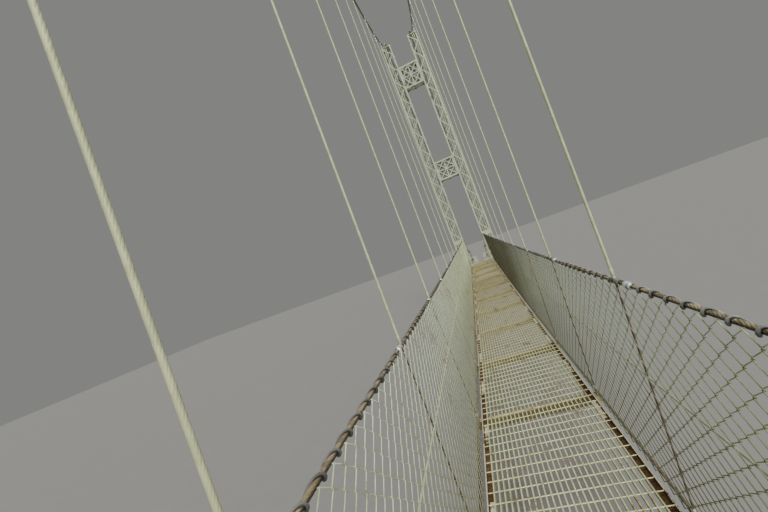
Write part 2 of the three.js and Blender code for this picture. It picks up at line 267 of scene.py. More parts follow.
def rope(shapes, path, radius, count=8, up=(0, 0, 1), scales=None):
    """A round bar. A ring close to each end keeps the end faces out of the shading of its length."""
    path = np.asarray(path, float)
    scales = np.ones(len(path)) if scales is None else scales
    near = path[0] + END_RING * unit(path[1] - path[0])
    far = path[-1] + END_RING * unit(path[-2] - path[-1])
    path = np.concatenate([path[:1], [near], path[1:-1], [far], path[-1:]])
    scales = np.concatenate([scales[:1], scales[:-1], scales[-1:], scales[-1:]])
    sweep(shapes, path, round_outline(radius, count), fan_caps(count), up, scales=scales)


print("faces that close a round outline of 8, 12 and 16:", [len(fan_caps(n)) for n in (8, 12, 16)])

# %% [markdown]
# Rolled angles, channels and plates are prisms: an outline pushed straight. A bolt is a hexagon
# head with a turned-down top on a round washer, and a sleeve is a short pipe pressed on a rope.
# Three directions are named, so that the places of small parts read plainly.

# %% Prisms, bolts and sleeves
ACROSS = np.array([1.0, 0.0, 0.0])
ALONG = np.array([0.0, 1.0, 0.0])
UPWARD = np.array([0.0, 0.0, 1.0])
SIX_SIDES = 6
WASHER_WIDENING = 1.4
SLEEVE_TAPER = 0.08


def prism(shapes, origin, u_axis, v_axis, outline, caps, vector):
    """An outline in the plane of two axes, pushed along a vector."""
    ring = np.asarray(origin, float) + np.asarray(outline, float) @ np.array([u_axis, v_axis], float)
    points = np.concatenate([ring, ring + np.asarray(vector, float)])
    shapes.add(points, ring_quads(2, len(ring), caps))


def rectangle(low, high):
    """The outline of a rectangle from its lowest to its highest corner."""
    return [(low[0], low[1]), (high[0], low[1]), (high[0], high[1]), (low[0], high[1])]


def block(shapes, low, high):
    size = np.subtract(high, low)
    prism(shapes, low, ACROSS, ALONG, rectangle((0, 0), size), FOUR_SIDED, UPWARD * size[2])


def angle_outline(width, thickness):
    w, t = width, thickness
    return [(0, 0), (w, 0), (w, t), (t, t), (t, w), (0, w)], [(0, 1, 2, 3), (0, 3, 4, 5)]


def lengthwise(axis):
    """True for a direction that runs nearly along the bridge."""
    return abs(axis[1]) >= 0.9


def bolt(shapes, at, axis, radius, height):
    """A hexagon head on a washer."""
    axis = unit(axis)
    washer = 0.25 * height
    stops = [0, washer, washer + 0.0001, 0.85 * height, height]
    path = [np.asarray(at, float) + axis * stop for stop in stops]
    scales = [WASHER_WIDENING, WASHER_WIDENING, 1, 1, 0.8]
    up = ACROSS if lengthwise(axis) else ALONG
    sweep(shapes, path, round_outline(radius, SIX_SIDES), fan_caps(SIX_SIDES), up, scales=scales)


def sleeve(shapes, start, end, radius, count=12):
    """A short round sleeve with turned-down ends."""
    start, end = np.asarray(start, float), np.asarray(end, float)
    taper = SLEEVE_TAPER * (end - start)
    up = UPWARD if lengthwise(unit(end - start)) else ALONG
    path = [start, start + taper, end - taper, end]
    sweep(shapes, path, round_outline(radius, count), fan_caps(count), up, scales=[0.82, 1, 1, 0.82])


trial = Shapes()
bolt(trial, (0, 0, 0), UPWARD, 0.012, 0.012)
print("one bolt has", trial.count, "points")

# %% [markdown]
# Materials are built from a few effects that several finishes share: the lay of a rope's strands,
# patches of rust, a green film where rain sits, and the grain of zinc. Each is a node group with
# named inputs, placed in a material with its own values. These helpers keep the making of nodes
# short.

# %% Helpers for shader nodes
def add_node(tree, kind, settings=None, **inputs):
    """A node with its settings, and each input given as a value or as a socket to link."""
    made = tree.nodes.new(kind)
    for name, value in (settings or {}).items():
        setattr(made, name, value)
    for name, value in inputs.items():
        by_number = name.startswith("in") and name[2:].isdigit()
        socket = made.inputs[int(name[2:]) if by_number else name.replace("_", " ")]
        if isinstance(value, bpy.types.NodeSocket):
            tree.links.new(value, socket)
        else:
            socket.default_value = value
    return made


def maths(tree, operation, a, b=0.0, c=0.0):
    return add_node(tree, "ShaderNodeMath", {"operation": operation}, in0=a, in1=b, in2=c).outputs[0]


def blend_colours(tree, share, a, b, kind="MIX"):
    settings = {"data_type": "RGBA", "blend_type": kind}
    return add_node(tree, "ShaderNodeMix", settings, in0=share, in6=a, in7=b).outputs[2]


def stretch(tree, value, low, high, to_low=0.0, to_high=1.0):
    """Maps a value from one range to another, smoothly and clamped."""
    settings = {"interpolation_type": "SMOOTHSTEP"}
    made = add_node(
        tree, "ShaderNodeMapRange", settings,
        Value=value, From_Min=low, From_Max=high, To_Min=to_low, To_Max=to_high,
    )
    return made.outputs[0]


def noise(tree, place, scale, detail, roughness=0.5):
    settings = {"Vector": place, "Scale": scale, "Detail": detail, "Roughness": roughness}
    return add_node(tree, "ShaderNodeTexNoise", **settings).outputs[0]


def split(tree, vector):
    """The three parts of a vector."""
    return add_node(tree, "ShaderNodeSeparateXYZ", Vector=vector).outputs


def surface_normal(tree):
    return tree.nodes.new("ShaderNodeNewGeometry").outputs["Normal"]


def object_place(tree, scale=(1, 1, 1)):
    spot = tree.nodes.new("ShaderNodeTexCoord").outputs["Object"]
    return add_node(tree, "ShaderNodeMapping", Vector=spot, Scale=scale).outputs[0]


def new_group(name, inputs, outputs):
    group = bpy.data.node_groups.new(name, "ShaderNodeTree")
    for label, value in inputs.items():
        socket = group.interface.new_socket(label, in_out="INPUT", socket_type="NodeSocketFloat")
        socket.default_value = value
    for label in outputs:
        group.interface.new_socket(label, in_out="OUTPUT", socket_type="NodeSocketFloat")
    start = group.nodes.new("NodeGroupInput")
    end = group.nodes.new("NodeGroupOutput")
    return group, start.outputs, end.inputs


def use_group(tree, group, **values):
    return add_node(tree, "ShaderNodeGroup", {"node_tree": group}, **values).outputs


def say_group(group):
    """Prints the size and the inputs and outputs of a finished group."""
    labels = [socket.name for socket in group.interface.items_tree]
    print(group.name, "has", len(group.nodes), "nodes and the sockets", labels)


helpers = [add_node, maths, blend_colours, stretch, noise, split, new_group, use_group]
print("helpers:", [helper.__name__ for helper in helpers])

# %% [markdown]
# A stranded rope is six or so strands laid in a long helix, each strand wires laid the other way.
# Modelling every wire would take millions of faces. The rope's mesh carries its own length and
# turn as texture coordinates, so this group can draw the strands and the grooves between them.

# %% Rope lay group
def make_rope_lay():
    inputs = {"Strands": 6.0, "Lay Length": 0.11, "Wires": 5.0, "Unevenness": 0.0}
    group, given, result = new_group("rope_lay", inputs, ["Height", "Groove"])
    around, reach, _ = split(group, group.nodes.new("ShaderNodeUVMap").outputs[0])
    sway = noise(group, object_place(group), 22.0, 2.0)
    along = maths(group, "DIVIDE", reach, given["Lay Length"])
    along = maths(group, "MULTIPLY_ADD", sway, given["Unevenness"], along)
    turn = maths(group, "ADD", around, along)
    strand = maths(group, "FRACT", maths(group, "MULTIPLY", turn, given["Strands"]))
    from_crown = maths(group, "ABSOLUTE", maths(group, "MULTIPLY_ADD", strand, 2.0, -1.0))
    crown = maths(group, "SUBTRACT", 1.0, maths(group, "POWER", from_crown, 2.5))
    back_turn = maths(group, "SUBTRACT", around, maths(group, "MULTIPLY", along, 1.7))
    wires = maths(group, "MULTIPLY", given["Strands"], given["Wires"])
    wire = maths(group, "PINGPONG", maths(group, "MULTIPLY", back_turn, wires), 0.5)
    group.links.new(maths(group, "MULTIPLY_ADD", wire, 0.3, crown), result["Height"])
    group.links.new(stretch(group, crown, 0.45, 0.0), result["Groove"])
    return group


ROPE_LAY = make_rope_lay()
say_group(ROPE_LAY)

# %% [markdown]
# Rust starts in spots and spreads into patches. Two noises of different size, one of them cut
# hard, give ragged edges with specks around them. A third stretches downwards for the streaks
# that rain draws.

# %% Rust group
def make_rust_patches():
    inputs = {"Amount": 0.4, "Patch Size": 0.25, "Speck Size": 0.012}
    group, given, result = new_group("rust_patches", inputs, ["Mask", "Streaks", "Height"])
    place = object_place(group)
    patches = noise(group, place, maths(group, "DIVIDE", 1.0, given["Patch Size"]), 6.0, 0.65)
    specks = noise(group, place, maths(group, "DIVIDE", 1.0, given["Speck Size"]), 3.0, 0.7)
    mixed = maths(group, "MULTIPLY_ADD", specks, 0.45, patches)
    limit = maths(group, "SUBTRACT", 1.02, maths(group, "MULTIPLY", given["Amount"], 0.6))
    mask = stretch(group, mixed, limit, maths(group, "ADD", limit, 0.09))
    streaks = noise(group, object_place(group, (26.0, 26.0, 1.6)), 1.0, 4.0, 0.6)
    group.links.new(mask, result["Mask"])
    group.links.new(stretch(group, streaks, 0.5, 0.72), result["Streaks"])
    group.links.new(maths(group, "MULTIPLY", mask, specks), result["Height"])
    return group


RUST = make_rust_patches()
say_group(RUST)

# %% [markdown]
# A green film of algae grows on every surface that stays wet, most of all on the sides that face
# up. The group mixes the upward part of the surface normal with a cloudy noise.

# %% Green film group
def facing_up(tree):
    return split(tree, surface_normal(tree))[2]


def make_green_film():
    group, given, result = new_group("green_film", {"Amount": 0.4, "Cloud Size": 0.4}, ["Mask"])
    cloud_scale = maths(group, "DIVIDE", 1.0, given["Cloud Size"])
    clouds = noise(group, object_place(group), cloud_scale, 8.0, 0.7)
    wet = maths(group, "MULTIPLY_ADD", facing_up(group), 0.12, clouds)
    limit = maths(group, "SUBTRACT", 0.85, maths(group, "MULTIPLY", given["Amount"], 0.5))
    group.links.new(stretch(group, wet, limit, maths(group, "ADD", limit, 0.25)), result["Mask"])
    return group


GREEN_FILM = make_green_film()
say_group(GREEN_FILM)

# %% [markdown]
# Hot-dip zinc cools into flat crystals of slightly different greys. Voronoi cells give each
# crystal its own tone.

# %% Zinc grain group
def make_zinc_grain():
    group, given, result = new_group("zinc_grain", {"Grain Size": 0.01}, ["Tone", "Height"])
    scale = maths(group, "DIVIDE", 1.0, given["Grain Size"])
    place = object_place(group)
    cells = add_node(group, "ShaderNodeTexVoronoi", Vector=place, Scale=scale)
    tone = add_node(group, "ShaderNodeSeparateColor", Color=cells.outputs["Color"]).outputs[0]
    fine = noise(group, place, maths(group, "MULTIPLY", scale, 4.0), 2.0)
    group.links.new(tone, result["Tone"])
    group.links.new(fine, result["Height"])
    return group


ZINC_GRAIN = make_zinc_grain()
say_group(ZINC_GRAIN)

# %% [markdown]
# Each finish below is one material: a base colour from the photograph, the shared effects with
# their own values, and a roughness and bump that follow the same masks. A stain lays a tint over
# the colour where a mask says so. Away from the cleanest and brightest stretch of the span a
# darker tint is laid on, partly dirt and partly painted shade that darkens the span towards its ends.

# %% Material helpers
RUST_DARK = (0.055, 0.026, 0.014, 1)
RUST_ORANGE = (0.19, 0.075, 0.025, 1)
FILM_GREEN = (0.075, 0.10, 0.035, 1)
# The place and reach of the stretch that is left free of dirt and painted shade.
CLEANEST_BRIGHTEST_Y = -3.0
CLEAN_BRIGHT_REACH = 0.8


def new_material(name, metallic, specular=0.5):
    material = bpy.data.materials.new(name)
    material.use_nodes = True
    shader = material.node_tree.nodes["Principled BSDF"]
    shader.inputs["Metallic"].default_value = metallic
    shader.inputs["Specular IOR Level"].default_value = specular
    return material, material.node_tree, shader


def finish_surface(tree, shader, colour, roughness, height, distance, strength=0.6):
    tree.links.new(colour, shader.inputs["Base Color"])
    tree.links.new(roughness, shader.inputs["Roughness"])
    bump = add_node(tree, "ShaderNodeBump", Strength=strength, Distance=distance, Height=height)
    tree.links.new(bump.outputs[0], shader.inputs["Normal"])


def stain(tree, colour, mask, share, tint):
    """Lays a tint over a colour, up to a share where the mask is full."""
    return blend_colours(tree, maths(tree, "MULTIPLY", mask, share), colour, tint)


def dirt_and_shade_towards_ends(tree, share, reach):
    """Zero on the cleanest and brightest stretch of the span, rising to a share at a distance from it:
    dirt and painted shade.
    """
    along = split(tree, object_place(tree))[1]
    away = maths(tree, "ABSOLUTE", maths(tree, "SUBTRACT", along, CLEANEST_BRIGHTEST_Y))
    return stretch(tree, away, CLEAN_BRIGHT_REACH, reach, 0.0, share)


def rusty_roughness(tree, rust, smooth, rough):
    return stretch(tree, rust["Mask"], 0.0, 1.0, smooth, rough)


print("the span is cleanest near y", CLEANEST_BRIGHTEST_Y, "for", CLEAN_BRIGHT_REACH, "m each way")

# %% [markdown]
# The ropes are dull steel gone tan with rust dust. The crown of each strand is worn brighter, and
# the grooves hold dark dirt. The side of a rope that faces down is darkened with painted shade, as
# much as its underside shade asks for. The seven finishes differ only in the values they are given,
# so one recipe makes them all.

# %% Rope materials
# The dark colour of the dirt in the grooves and of the painted shade under a rope.
ROPE_DIRT_AND_SHADE = (0.05, 0.04, 0.028, 1)


def make_rope_steel(name, crown, worn, lay, depth, rusty, groove=0.6, underside_shade=0.0, uneven=0.0):
    material, tree, shader = new_material(name, 0.1, 0.3)
    strands = use_group(tree, ROPE_LAY, Lay_Length=lay, Unevenness=uneven)
    rust = use_group(tree, RUST, Amount=rusty, Patch_Size=0.3, Speck_Size=0.008)
    film = use_group(tree, GREEN_FILM, Amount=0.3, Cloud_Size=0.25)
    tone = use_group(tree, ZINC_GRAIN, Grain_Size=0.03)["Tone"]
    colour = blend_colours(tree, tone, crown, worn)
    colour = stain(tree, colour, rust["Mask"], 0.55, RUST_ORANGE)
    colour = stain(tree, colour, film["Mask"], 0.5, FILM_GREEN)
    # Painted shade: the side of a rope that faces down is darkened, up to its underside shade.
    painted_underside_shade = stretch(tree, facing_up(tree), 0.8, 0.1, 0.0, underside_shade)
    dirt_and_shade = maths(tree, "MAXIMUM", maths(tree, "MULTIPLY", strands["Groove"], groove), painted_underside_shade)
    colour = blend_colours(tree, dirt_and_shade, colour, ROPE_DIRT_AND_SHADE)
    roughness = rusty_roughness(tree, rust, 0.5, 0.85)
    finish_surface(tree, shader, colour, roughness, strands["Height"], depth, 0.9)
    return material


HANGER_STEEL = make_rope_steel(
    "hanger_steel", (0.51, 0.54, 0.32, 1), (0.64, 0.67, 0.41, 1),
    lay=0.10, depth=0.0004, rusty=0.22, groove=0.16,
)
DULL_STEEL = make_rope_steel(
    "dull_steel", (0.24, 0.25, 0.17, 1), (0.34, 0.35, 0.25, 1),
    lay=0.10, depth=0.0004, rusty=0.3,
)
# The ties and the foot ropes are dark brown: rust, and painted shade of low parts that hang in shadow.
TIE_STEEL_SHADED = make_rope_steel(
    "tie_steel_shaded", (0.08, 0.055, 0.035, 1), (0.15, 0.105, 0.065, 1),
    lay=0.10, depth=0.0008, rusty=0.4,
)
# The main cable, the handrail and the lashings take painted shade on their lower sides.
CABLE_STEEL = make_rope_steel(
    "cable_steel", (0.30, 0.28, 0.22, 1), (0.42, 0.40, 0.32, 1),
    lay=0.26, depth=0.004, rusty=0.34, underside_shade=0.4,
)
RAIL_STEEL = make_rope_steel(
    "rail_steel", (0.13, 0.105, 0.06, 1), (0.31, 0.26, 0.165, 1),
    lay=0.12, depth=0.002, rusty=0.42, groove=0.45, underside_shade=0.9, uneven=0.12,
)
LEFT_LASHING = make_rope_steel(
    "left_lashing", (0.085, 0.085, 0.085, 1), (0.16, 0.16, 0.155, 1),
    lay=0.05, depth=0.001, rusty=0.3, underside_shade=0.35,
)
RIGHT_LASHING = make_rope_steel(
    "right_lashing", (0.19, 0.20, 0.195, 1), (0.32, 0.335, 0.325, 1),
    lay=0.05, depth=0.001, rusty=0.3, underside_shade=0.35,
)
rope_steels = [
    HANGER_STEEL, DULL_STEEL, TIE_STEEL_SHADED, CABLE_STEEL, RAIL_STEEL, LEFT_LASHING, RIGHT_LASHING,
]
print("rope finishes:", [material.name for material in rope_steels])

# %% [markdown]
# The woven mesh is thin zinc-coated wire. Near the handrail it is light grey. A moss-green film
# dulls long stretches of it, and it is darker and browner near the deck. The two sides are lit and
# shaded copies of one wire: the left is painted lighter as painted light, the right darker as
# painted shade. Towards the towers both darken with dirt and painted shade, the right to a dark
# olive brown. The darkening follows the height and the place along the span, not a painted
# picture, so it runs on from one length of mesh to the next.

# %% Mesh wire materials
MOSS_GREEN = (0.17, 0.20, 0.085, 1)
SPLASH_TOP = 1.85
SPLASH_FULL = 1.10


def make_mesh_wire(name, dull, bright, dirt_and_shade, dirt_and_shade_at_ends):
    material, tree, shader = new_material(name, 0.3)
    film = use_group(tree, GREEN_FILM, Amount=0.55, Cloud_Size=0.6)
    rust = use_group(tree, RUST, Amount=0.36, Patch_Size=0.2, Speck_Size=0.01)
    tone = use_group(tree, ZINC_GRAIN, Grain_Size=0.02)
    colour = blend_colours(tree, tone["Tone"], dull, bright)
    height = split(tree, object_place(tree))[2]
    low = stretch(tree, height, SPLASH_TOP, SPLASH_FULL, 0.0, 0.65)
    # Towards the ends the wire takes dirt and painted shade, as deep as the splash near the deck.
    splash_dirt_and_shade = maths(tree, "MAXIMUM", low, dirt_and_shade_towards_ends(tree, dirt_and_shade_at_ends, 6.5))
    colour = blend_colours(tree, splash_dirt_and_shade, colour, dirt_and_shade)
    colour = stain(tree, colour, film["Mask"], 0.7, MOSS_GREEN)
    colour = stain(tree, colour, rust["Mask"], 0.7, RUST_ORANGE)
    roughness = stretch(tree, film["Mask"], 0.0, 1.0, 0.42, 0.8)
    finish_surface(tree, shader, colour, roughness, tone["Height"], 0.0004, 0.5)
    return material


# The left wire is painted lighter as painted light, and the right wire darker as painted shade.
LEFT_WIRE_PAINTED_LIGHT = make_mesh_wire(
    "left_wire", (0.50, 0.57, 0.36, 1), (0.68, 0.75, 0.50, 1),
    dirt_and_shade=(0.17, 0.165, 0.075, 1), dirt_and_shade_at_ends=0.35,
)
RIGHT_WIRE_PAINTED_SHADE = make_mesh_wire(
    "right_wire", (0.28, 0.33, 0.175, 1), (0.39, 0.45, 0.25, 1),
    dirt_and_shade=(0.06, 0.058, 0.022, 1), dirt_and_shade_at_ends=0.95,
)
print("mesh wires:", LEFT_WIRE_PAINTED_LIGHT.name, RIGHT_WIRE_PAINTED_SHADE.name)

# %% [markdown]
# The walkway grating is galvanised, worn to a yellowish tan by mud, with rust spots where the
# bars meet the cross rods. Towards both ends a darker tan is laid on, partly mud and partly
# painted shade that darkens the deck away from its brightest stretch.
# Bars and rods share a recipe, and the rods are the paler of the two, because shoes rub them.

# %% Grating materials
MUD_AND_SHADE_TAN = (0.34, 0.28, 0.11, 1)


def make_grating_steel(name, base, worn, rusty):
    material, tree, shader = new_material(name, 0.3, 0.45)
    rust = use_group(tree, RUST, Amount=rusty, Patch_Size=0.12, Speck_Size=0.006)
    film = use_group(tree, GREEN_FILM, Amount=0.35, Cloud_Size=0.35)
    tone = use_group(tree, ZINC_GRAIN, Grain_Size=0.04)
    colour = blend_colours(tree, tone["Tone"], base, worn)
    # Mud and painted shade darken the grating towards the ends.
    colour = blend_colours(tree, dirt_and_shade_towards_ends(tree, 0.85, 9.0), colour, MUD_AND_SHADE_TAN)
    colour = stain(tree, colour, film["Mask"], 0.55, FILM_GREEN)
    colour = stain(tree, colour, rust["Mask"], 0.8, RUST_ORANGE)
    roughness = rusty_roughness(tree, rust, 0.5, 0.9)
    finish_surface(tree, shader, colour, roughness, rust["Height"], 0.0008, 0.5)
    return material


BAR_STEEL = make_grating_steel("bar_steel", (0.44, 0.46, 0.25, 1), (0.58, 0.60, 0.34, 1), 0.38)
ROD_STEEL = make_grating_steel("rod_steel", (0.50, 0.51, 0.27, 1), (0.64, 0.65, 0.37, 1), 0.36)
print("grating steels:", BAR_STEEL.name, ROD_STEEL.name)

# %% [markdown]
# The deck frame was painted cream. The cleat plates have kept most of the paint. The uprights have
# kept a dull rest of it on their tops and outer faces, and the ledges and inner faces have lost it,
# so one recipe with different paints and amounts of rust serves them all.

# %% Edge steel materials
RUST_BROWN = (0.10, 0.05, 0.022, 1)
MOSSY_PAINT = (0.20, 0.20, 0.10, 1)


def inward_face(tree):
    """One on faces that look towards the middle of the deck, zero on all the others."""
    across = split(tree, surface_normal(tree))[0]
    place = split(tree, object_place(tree))[0]
    return stretch(tree, maths(tree, "MULTIPLY", across, place), -0.10, -0.25)


def make_edge_steel(name, rusty, dull, bright, bare_inside=0.0):
    material, tree, shader = new_material(name, 0.15, 0.4)
    rust = use_group(tree, RUST, Amount=rusty, Patch_Size=0.35, Speck_Size=0.01)
    film = use_group(tree, GREEN_FILM, Amount=0.35, Cloud_Size=0.3)
    tone = use_group(tree, ZINC_GRAIN, Grain_Size=0.02)
    ground = blend_colours(tree, tone["Tone"], RUST_DARK, RUST_BROWN)
    paint = blend_colours(tree, tone["Tone"], dull, bright)
    paint = stain(tree, paint, film["Mask"], 0.5, MOSSY_PAINT)
    inside = maths(tree, "MULTIPLY", inward_face(tree), bare_inside)
    colour = blend_colours(tree, maths(tree, "MAXIMUM", rust["Mask"], inside), paint, ground)
    roughness = rusty_roughness(tree, rust, 0.55, 0.92)
    finish_surface(tree, shader, colour, roughness, rust["Height"], 0.0015, 0.7)
    return material


CREAM_STEEL = make_edge_steel("cream_steel", 0.36, (0.50, 0.45, 0.30, 1), (0.62, 0.57, 0.41, 1))
UPRIGHT_STEEL = make_edge_steel(
    "upright_steel", 0.42, (0.38, 0.37, 0.23, 1), (0.50, 0.48, 0.32, 1), bare_inside=0.9,
)
CHANNEL_STEEL = make_edge_steel("channel_steel", 0.34, (0.30, 0.25, 0.15, 1), (0.38, 0.32, 0.20, 1))
RUSTY_STEEL = make_edge_steel("rusty_steel", 0.72, (0.075, 0.05, 0.022, 1), (0.13, 0.085, 0.038, 1))
print("deck frame finishes:", CREAM_STEEL.name, UPRIGHT_STEEL.name, CHANNEL_STEEL.name, RUSTY_STEEL.name)

# %% [markdown]
# The towers are painted a pale grey-green over zinc. Rain streaks run down them, and a film of
# algae grows on the faces that stay wet. The faces that look into the lattice are the darkest:
# painted shade, where the lattice shades itself. A face looks inwards where its normal points back
# at the middle of its leg.

# %% Tower paint material
PAINT_DULL = (0.47, 0.53, 0.36, 1)
PAINT_BRIGHT = (0.62, 0.68, 0.48, 1)
PAINT_SHADED = (0.09, 0.11, 0.055, 1)
PAINT_STREAK = (0.24, 0.25, 0.17, 1)
PAINT_MOSS = (0.15, 0.19, 0.09, 1)


def painted_shade_inner_faces(tree):
    """One on the faces that look into a tower's lattice, where painted shade goes, zero on its outer
    faces.
    """
    normals = split(tree, surface_normal(tree))
    places = split(tree, object_place(tree))
    outwards = 0.0
    for axis, middle in ((0, LEG_X), (1, TOWER_Y)):
        distance = maths(tree, "SUBTRACT", maths(tree, "ABSOLUTE", places[axis]), middle)
        facing = maths(tree, "MULTIPLY", normals[axis], maths(tree, "SIGN", places[axis]))
        outwards = maths(tree, "MULTIPLY_ADD", distance, facing, outwards)
    return stretch(tree, outwards, 0.02, -0.04)


def make_tower_paint():
    material, tree, shader = new_material("tower_paint", 0.2, 0.45)
    rust = use_group(tree, RUST, Amount=0.32, Patch_Size=0.3, Speck_Size=0.015)
    film = use_group(tree, GREEN_FILM, Amount=0.5, Cloud_Size=0.9)
    tone = use_group(tree, ZINC_GRAIN, Grain_Size=0.05)
    colour = blend_colours(tree, tone["Tone"], PAINT_DULL, PAINT_BRIGHT)
    # Painted shade on the faces that look into the lattice.
    colour = stain(tree, colour, painted_shade_inner_faces(tree), 0.8, PAINT_SHADED)
    colour = stain(tree, colour, rust["Streaks"], 0.35, PAINT_STREAK)
    colour = stain(tree, colour, film["Mask"], 0.45, PAINT_MOSS)
    colour = stain(tree, colour, rust["Mask"], 0.8, RUST_ORANGE)
    roughness = rusty_roughness(tree, rust, 0.5, 0.88)
    finish_surface(tree, shader, colour, roughness, rust["Height"], 0.001, 0.5)
    return material


TOWER_PAINT = make_tower_paint()
print("tower paint has", len(TOWER_PAINT.node_tree.nodes), "nodes")

# %% [markdown]
# Bolts, bands and sleeves are zinc plated, with small rust spots. The ferrules beside the hangers
# are a brighter alloy that hardly rusts, and they are the brightest spots on the bridge. Such
# small parts need no streaks or film, so grain and rust are enough.

# %% Bolt and ferrule materials
def make_bolt_zinc(name, dull, bright, rusty):
    material, tree, shader = new_material(name, 0.5)
    rust = use_group(tree, RUST, Amount=rusty, Patch_Size=0.08, Speck_Size=0.006)
    tone = use_group(tree, ZINC_GRAIN, Grain_Size=0.008)
    colour = blend_colours(tree, tone["Tone"], dull, bright)
    colour = stain(tree, colour, rust["Mask"], 0.8, RUST_ORANGE)
    roughness = rusty_roughness(tree, rust, 0.35, 0.85)
    finish_surface(tree, shader, colour, roughness, tone["Height"], 0.0005, 0.4)
    return material


BOLT_ZINC = make_bolt_zinc("bolt_zinc", (0.52, 0.54, 0.49, 1), (0.68, 0.69, 0.64, 1), 0.36)
FERRULE_ALLOY = make_bolt_zinc("ferrule_alloy", (0.70, 0.73, 0.74, 1), (0.82, 0.85, 0.86, 1), 0.2)
print("small fittings:", BOLT_ZINC.name, FERRULE_ALLOY.name)

# %% [markdown]
# Saddles and clamps are castings: sandy to the touch, dark, with patches of rust. The sand of the
# mould marks both tone and surface, so one fine noise drives the colour and the bump.

# %% Casting material
IRON_DARK = (0.10, 0.105, 0.095, 1)
IRON_WORN = (0.21, 0.22, 0.20, 1)
SAND_SCALE = 260.0


def make_cast_iron():
    material, tree, shader = new_material("cast_iron", 0.4, 0.4)
    rust = use_group(tree, RUST, Amount=0.5, Patch_Size=0.15, Speck_Size=0.008)
    sand = noise(tree, object_place(tree), SAND_SCALE, 3.0)
    colour = blend_colours(tree, sand, IRON_DARK, IRON_WORN)
    colour = stain(tree, colour, rust["Mask"], 0.7, RUST_ORANGE)
    roughness = rusty_roughness(tree, rust, 0.55, 0.9)
    finish_surface(tree, shader, colour, roughness, sand, 0.001, 0.6)
    return material


CAST_IRON = make_cast_iron()
print("castings:", CAST_IRON.name)

# %% [markdown]
# Cast concrete shows the boards it was poured between, small air holes, and damp stains that are
# darkest near the ground. This concrete stays wet for most of the year, so it is dark and greened.
# Boards, holes and damp are worked out from the place in the model, so no two blocks look alike.

# %% Concrete material
CONCRETE_DARK = (0.20, 0.20, 0.165, 1)
CONCRETE_LIGHT = (0.31, 0.31, 0.26, 1)
CONCRETE_DAMP = (0.10, 0.10, 0.07, 1)
CONCRETE_MOSS = (0.085, 0.105, 0.045, 1)
CONCRETE_HOLE = (0.06, 0.06, 0.045, 1)
BOARD_HEIGHT = 0.12
DAMP_HEIGHT = 0.45


def make_cast_concrete():
    material, tree, shader = new_material("cast_concrete", 0.0, 0.35)
    place = object_place(tree)
    film = use_group(tree, GREEN_FILM, Amount=0.7, Cloud_Size=0.5)
    grain = noise(tree, place, 70.0, 8.0, 0.7)
    cells = add_node(tree, "ShaderNodeTexVoronoi", Vector=place, Scale=42.0)
    hole = stretch(tree, cells.outputs["Distance"], 0.16, 0.08)
    height = split(tree, place)[2]
    board = maths(tree, "PINGPONG", maths(tree, "DIVIDE", height, BOARD_HEIGHT), 0.5)
    hollow = maths(tree, "MAXIMUM", hole, stretch(tree, board, 0.03, 0.0))
    damp = stretch(tree, height, DAMP_HEIGHT, 0.0)
    colour = blend_colours(tree, grain, CONCRETE_DARK, CONCRETE_LIGHT)
    colour = stain(tree, colour, damp, 0.6, CONCRETE_DAMP)
    colour = stain(tree, colour, film["Mask"], 0.75, CONCRETE_MOSS)
    colour = blend_colours(tree, hollow, colour, CONCRETE_HOLE)
    surface = maths(tree, "SUBTRACT", grain, maths(tree, "MULTIPLY", hollow, 1.5))
    roughness = stretch(tree, grain, 0.2, 0.8, 0.8, 0.95)
    finish_surface(tree, shader, colour, roughness, surface, 0.003, 0.7)
    return material


CONCRETE = make_cast_concrete()
print("materials, with the packed model's:", len(bpy.data.materials), "groups:", len(bpy.data.node_groups))

# %% [markdown]
# The walkway is welded grating: flat bearing bars on edge run along the bridge, and twisted
# square rods cross them every 100 mm, let into their tops. Each bar bends with the deck at the
# bay joints. A rod is a square outline swept across and turned a quarter between bars.

# %% Gratings
BAR_COUNT = 26
BAR_THICKNESS = 0.007
END_BAR_SINK = 0.001
ROD_PITCH = 0.100
ROD_SIZE = 0.0052
ROD_SINK = 0.0005
ROD_REACH = DECK_HALF - UPRIGHT_THICKNESS - 0.001


def deck_line(x, stops):
    """Points along the deck's surface, at one place across it."""
    return np.stack([np.full(len(stops), x), stops, deck_level(stops)], axis=1)


def make_bearing_bars(name, start, end):
    bars = Shapes()
    half = BAR_THICKNESS / 2
    outline = rectangle((-half, SEAM - GRATING_DEPTH), (half, 0))
    stops = np.array(bay_stops(start, end))
    for x in np.linspace(half - GRATING_HALF, GRATING_HALF - half, BAR_COUNT):
        sweep(bars, deck_line(x, stops), outline, FOUR_SIDED)
    for y in (start + half, end - half):
        level = float(deck_level(y))
        low = (-GRATING_HALF, y - half, level - GRATING_DEPTH + END_BAR_SINK)
        block(bars, low, (GRATING_HALF, y + half, level - END_BAR_SINK))
    bars = bars.piece(f"{name}_bearing_bars", BAR_STEEL, "grating_steel")
    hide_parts(f"{name}_grating")


def make_cross_rods(name, start, end):
    rods = Shapes()
    gaps = 2 * (BAR_COUNT + 1)
    past_bars = GRATING_HALF * (BAR_COUNT + 1) / (BAR_COUNT - 1)
    xs = np.linspace(-past_bars, past_bars, gaps + 1)
    xs[0], xs[-1] = -ROD_REACH, ROD_REACH
    turns = np.arange(gaps + 1) * math.pi / 4
    half = ROD_SIZE / 2
    outline = rectangle((-half, -half), (half, half))
    for y in np.arange(start + ROD_PITCH / 2, end - ROD_PITCH / 4, ROD_PITCH):
        level = float(deck_level(y)) - half - ROD_SINK
        sweep(rods, [(x, y, level) for x in xs], outline, FOUR_SIDED, turns=turns)
    rods.piece(f"{name}_cross_rods", ROD_STEEL, "grating_steel")


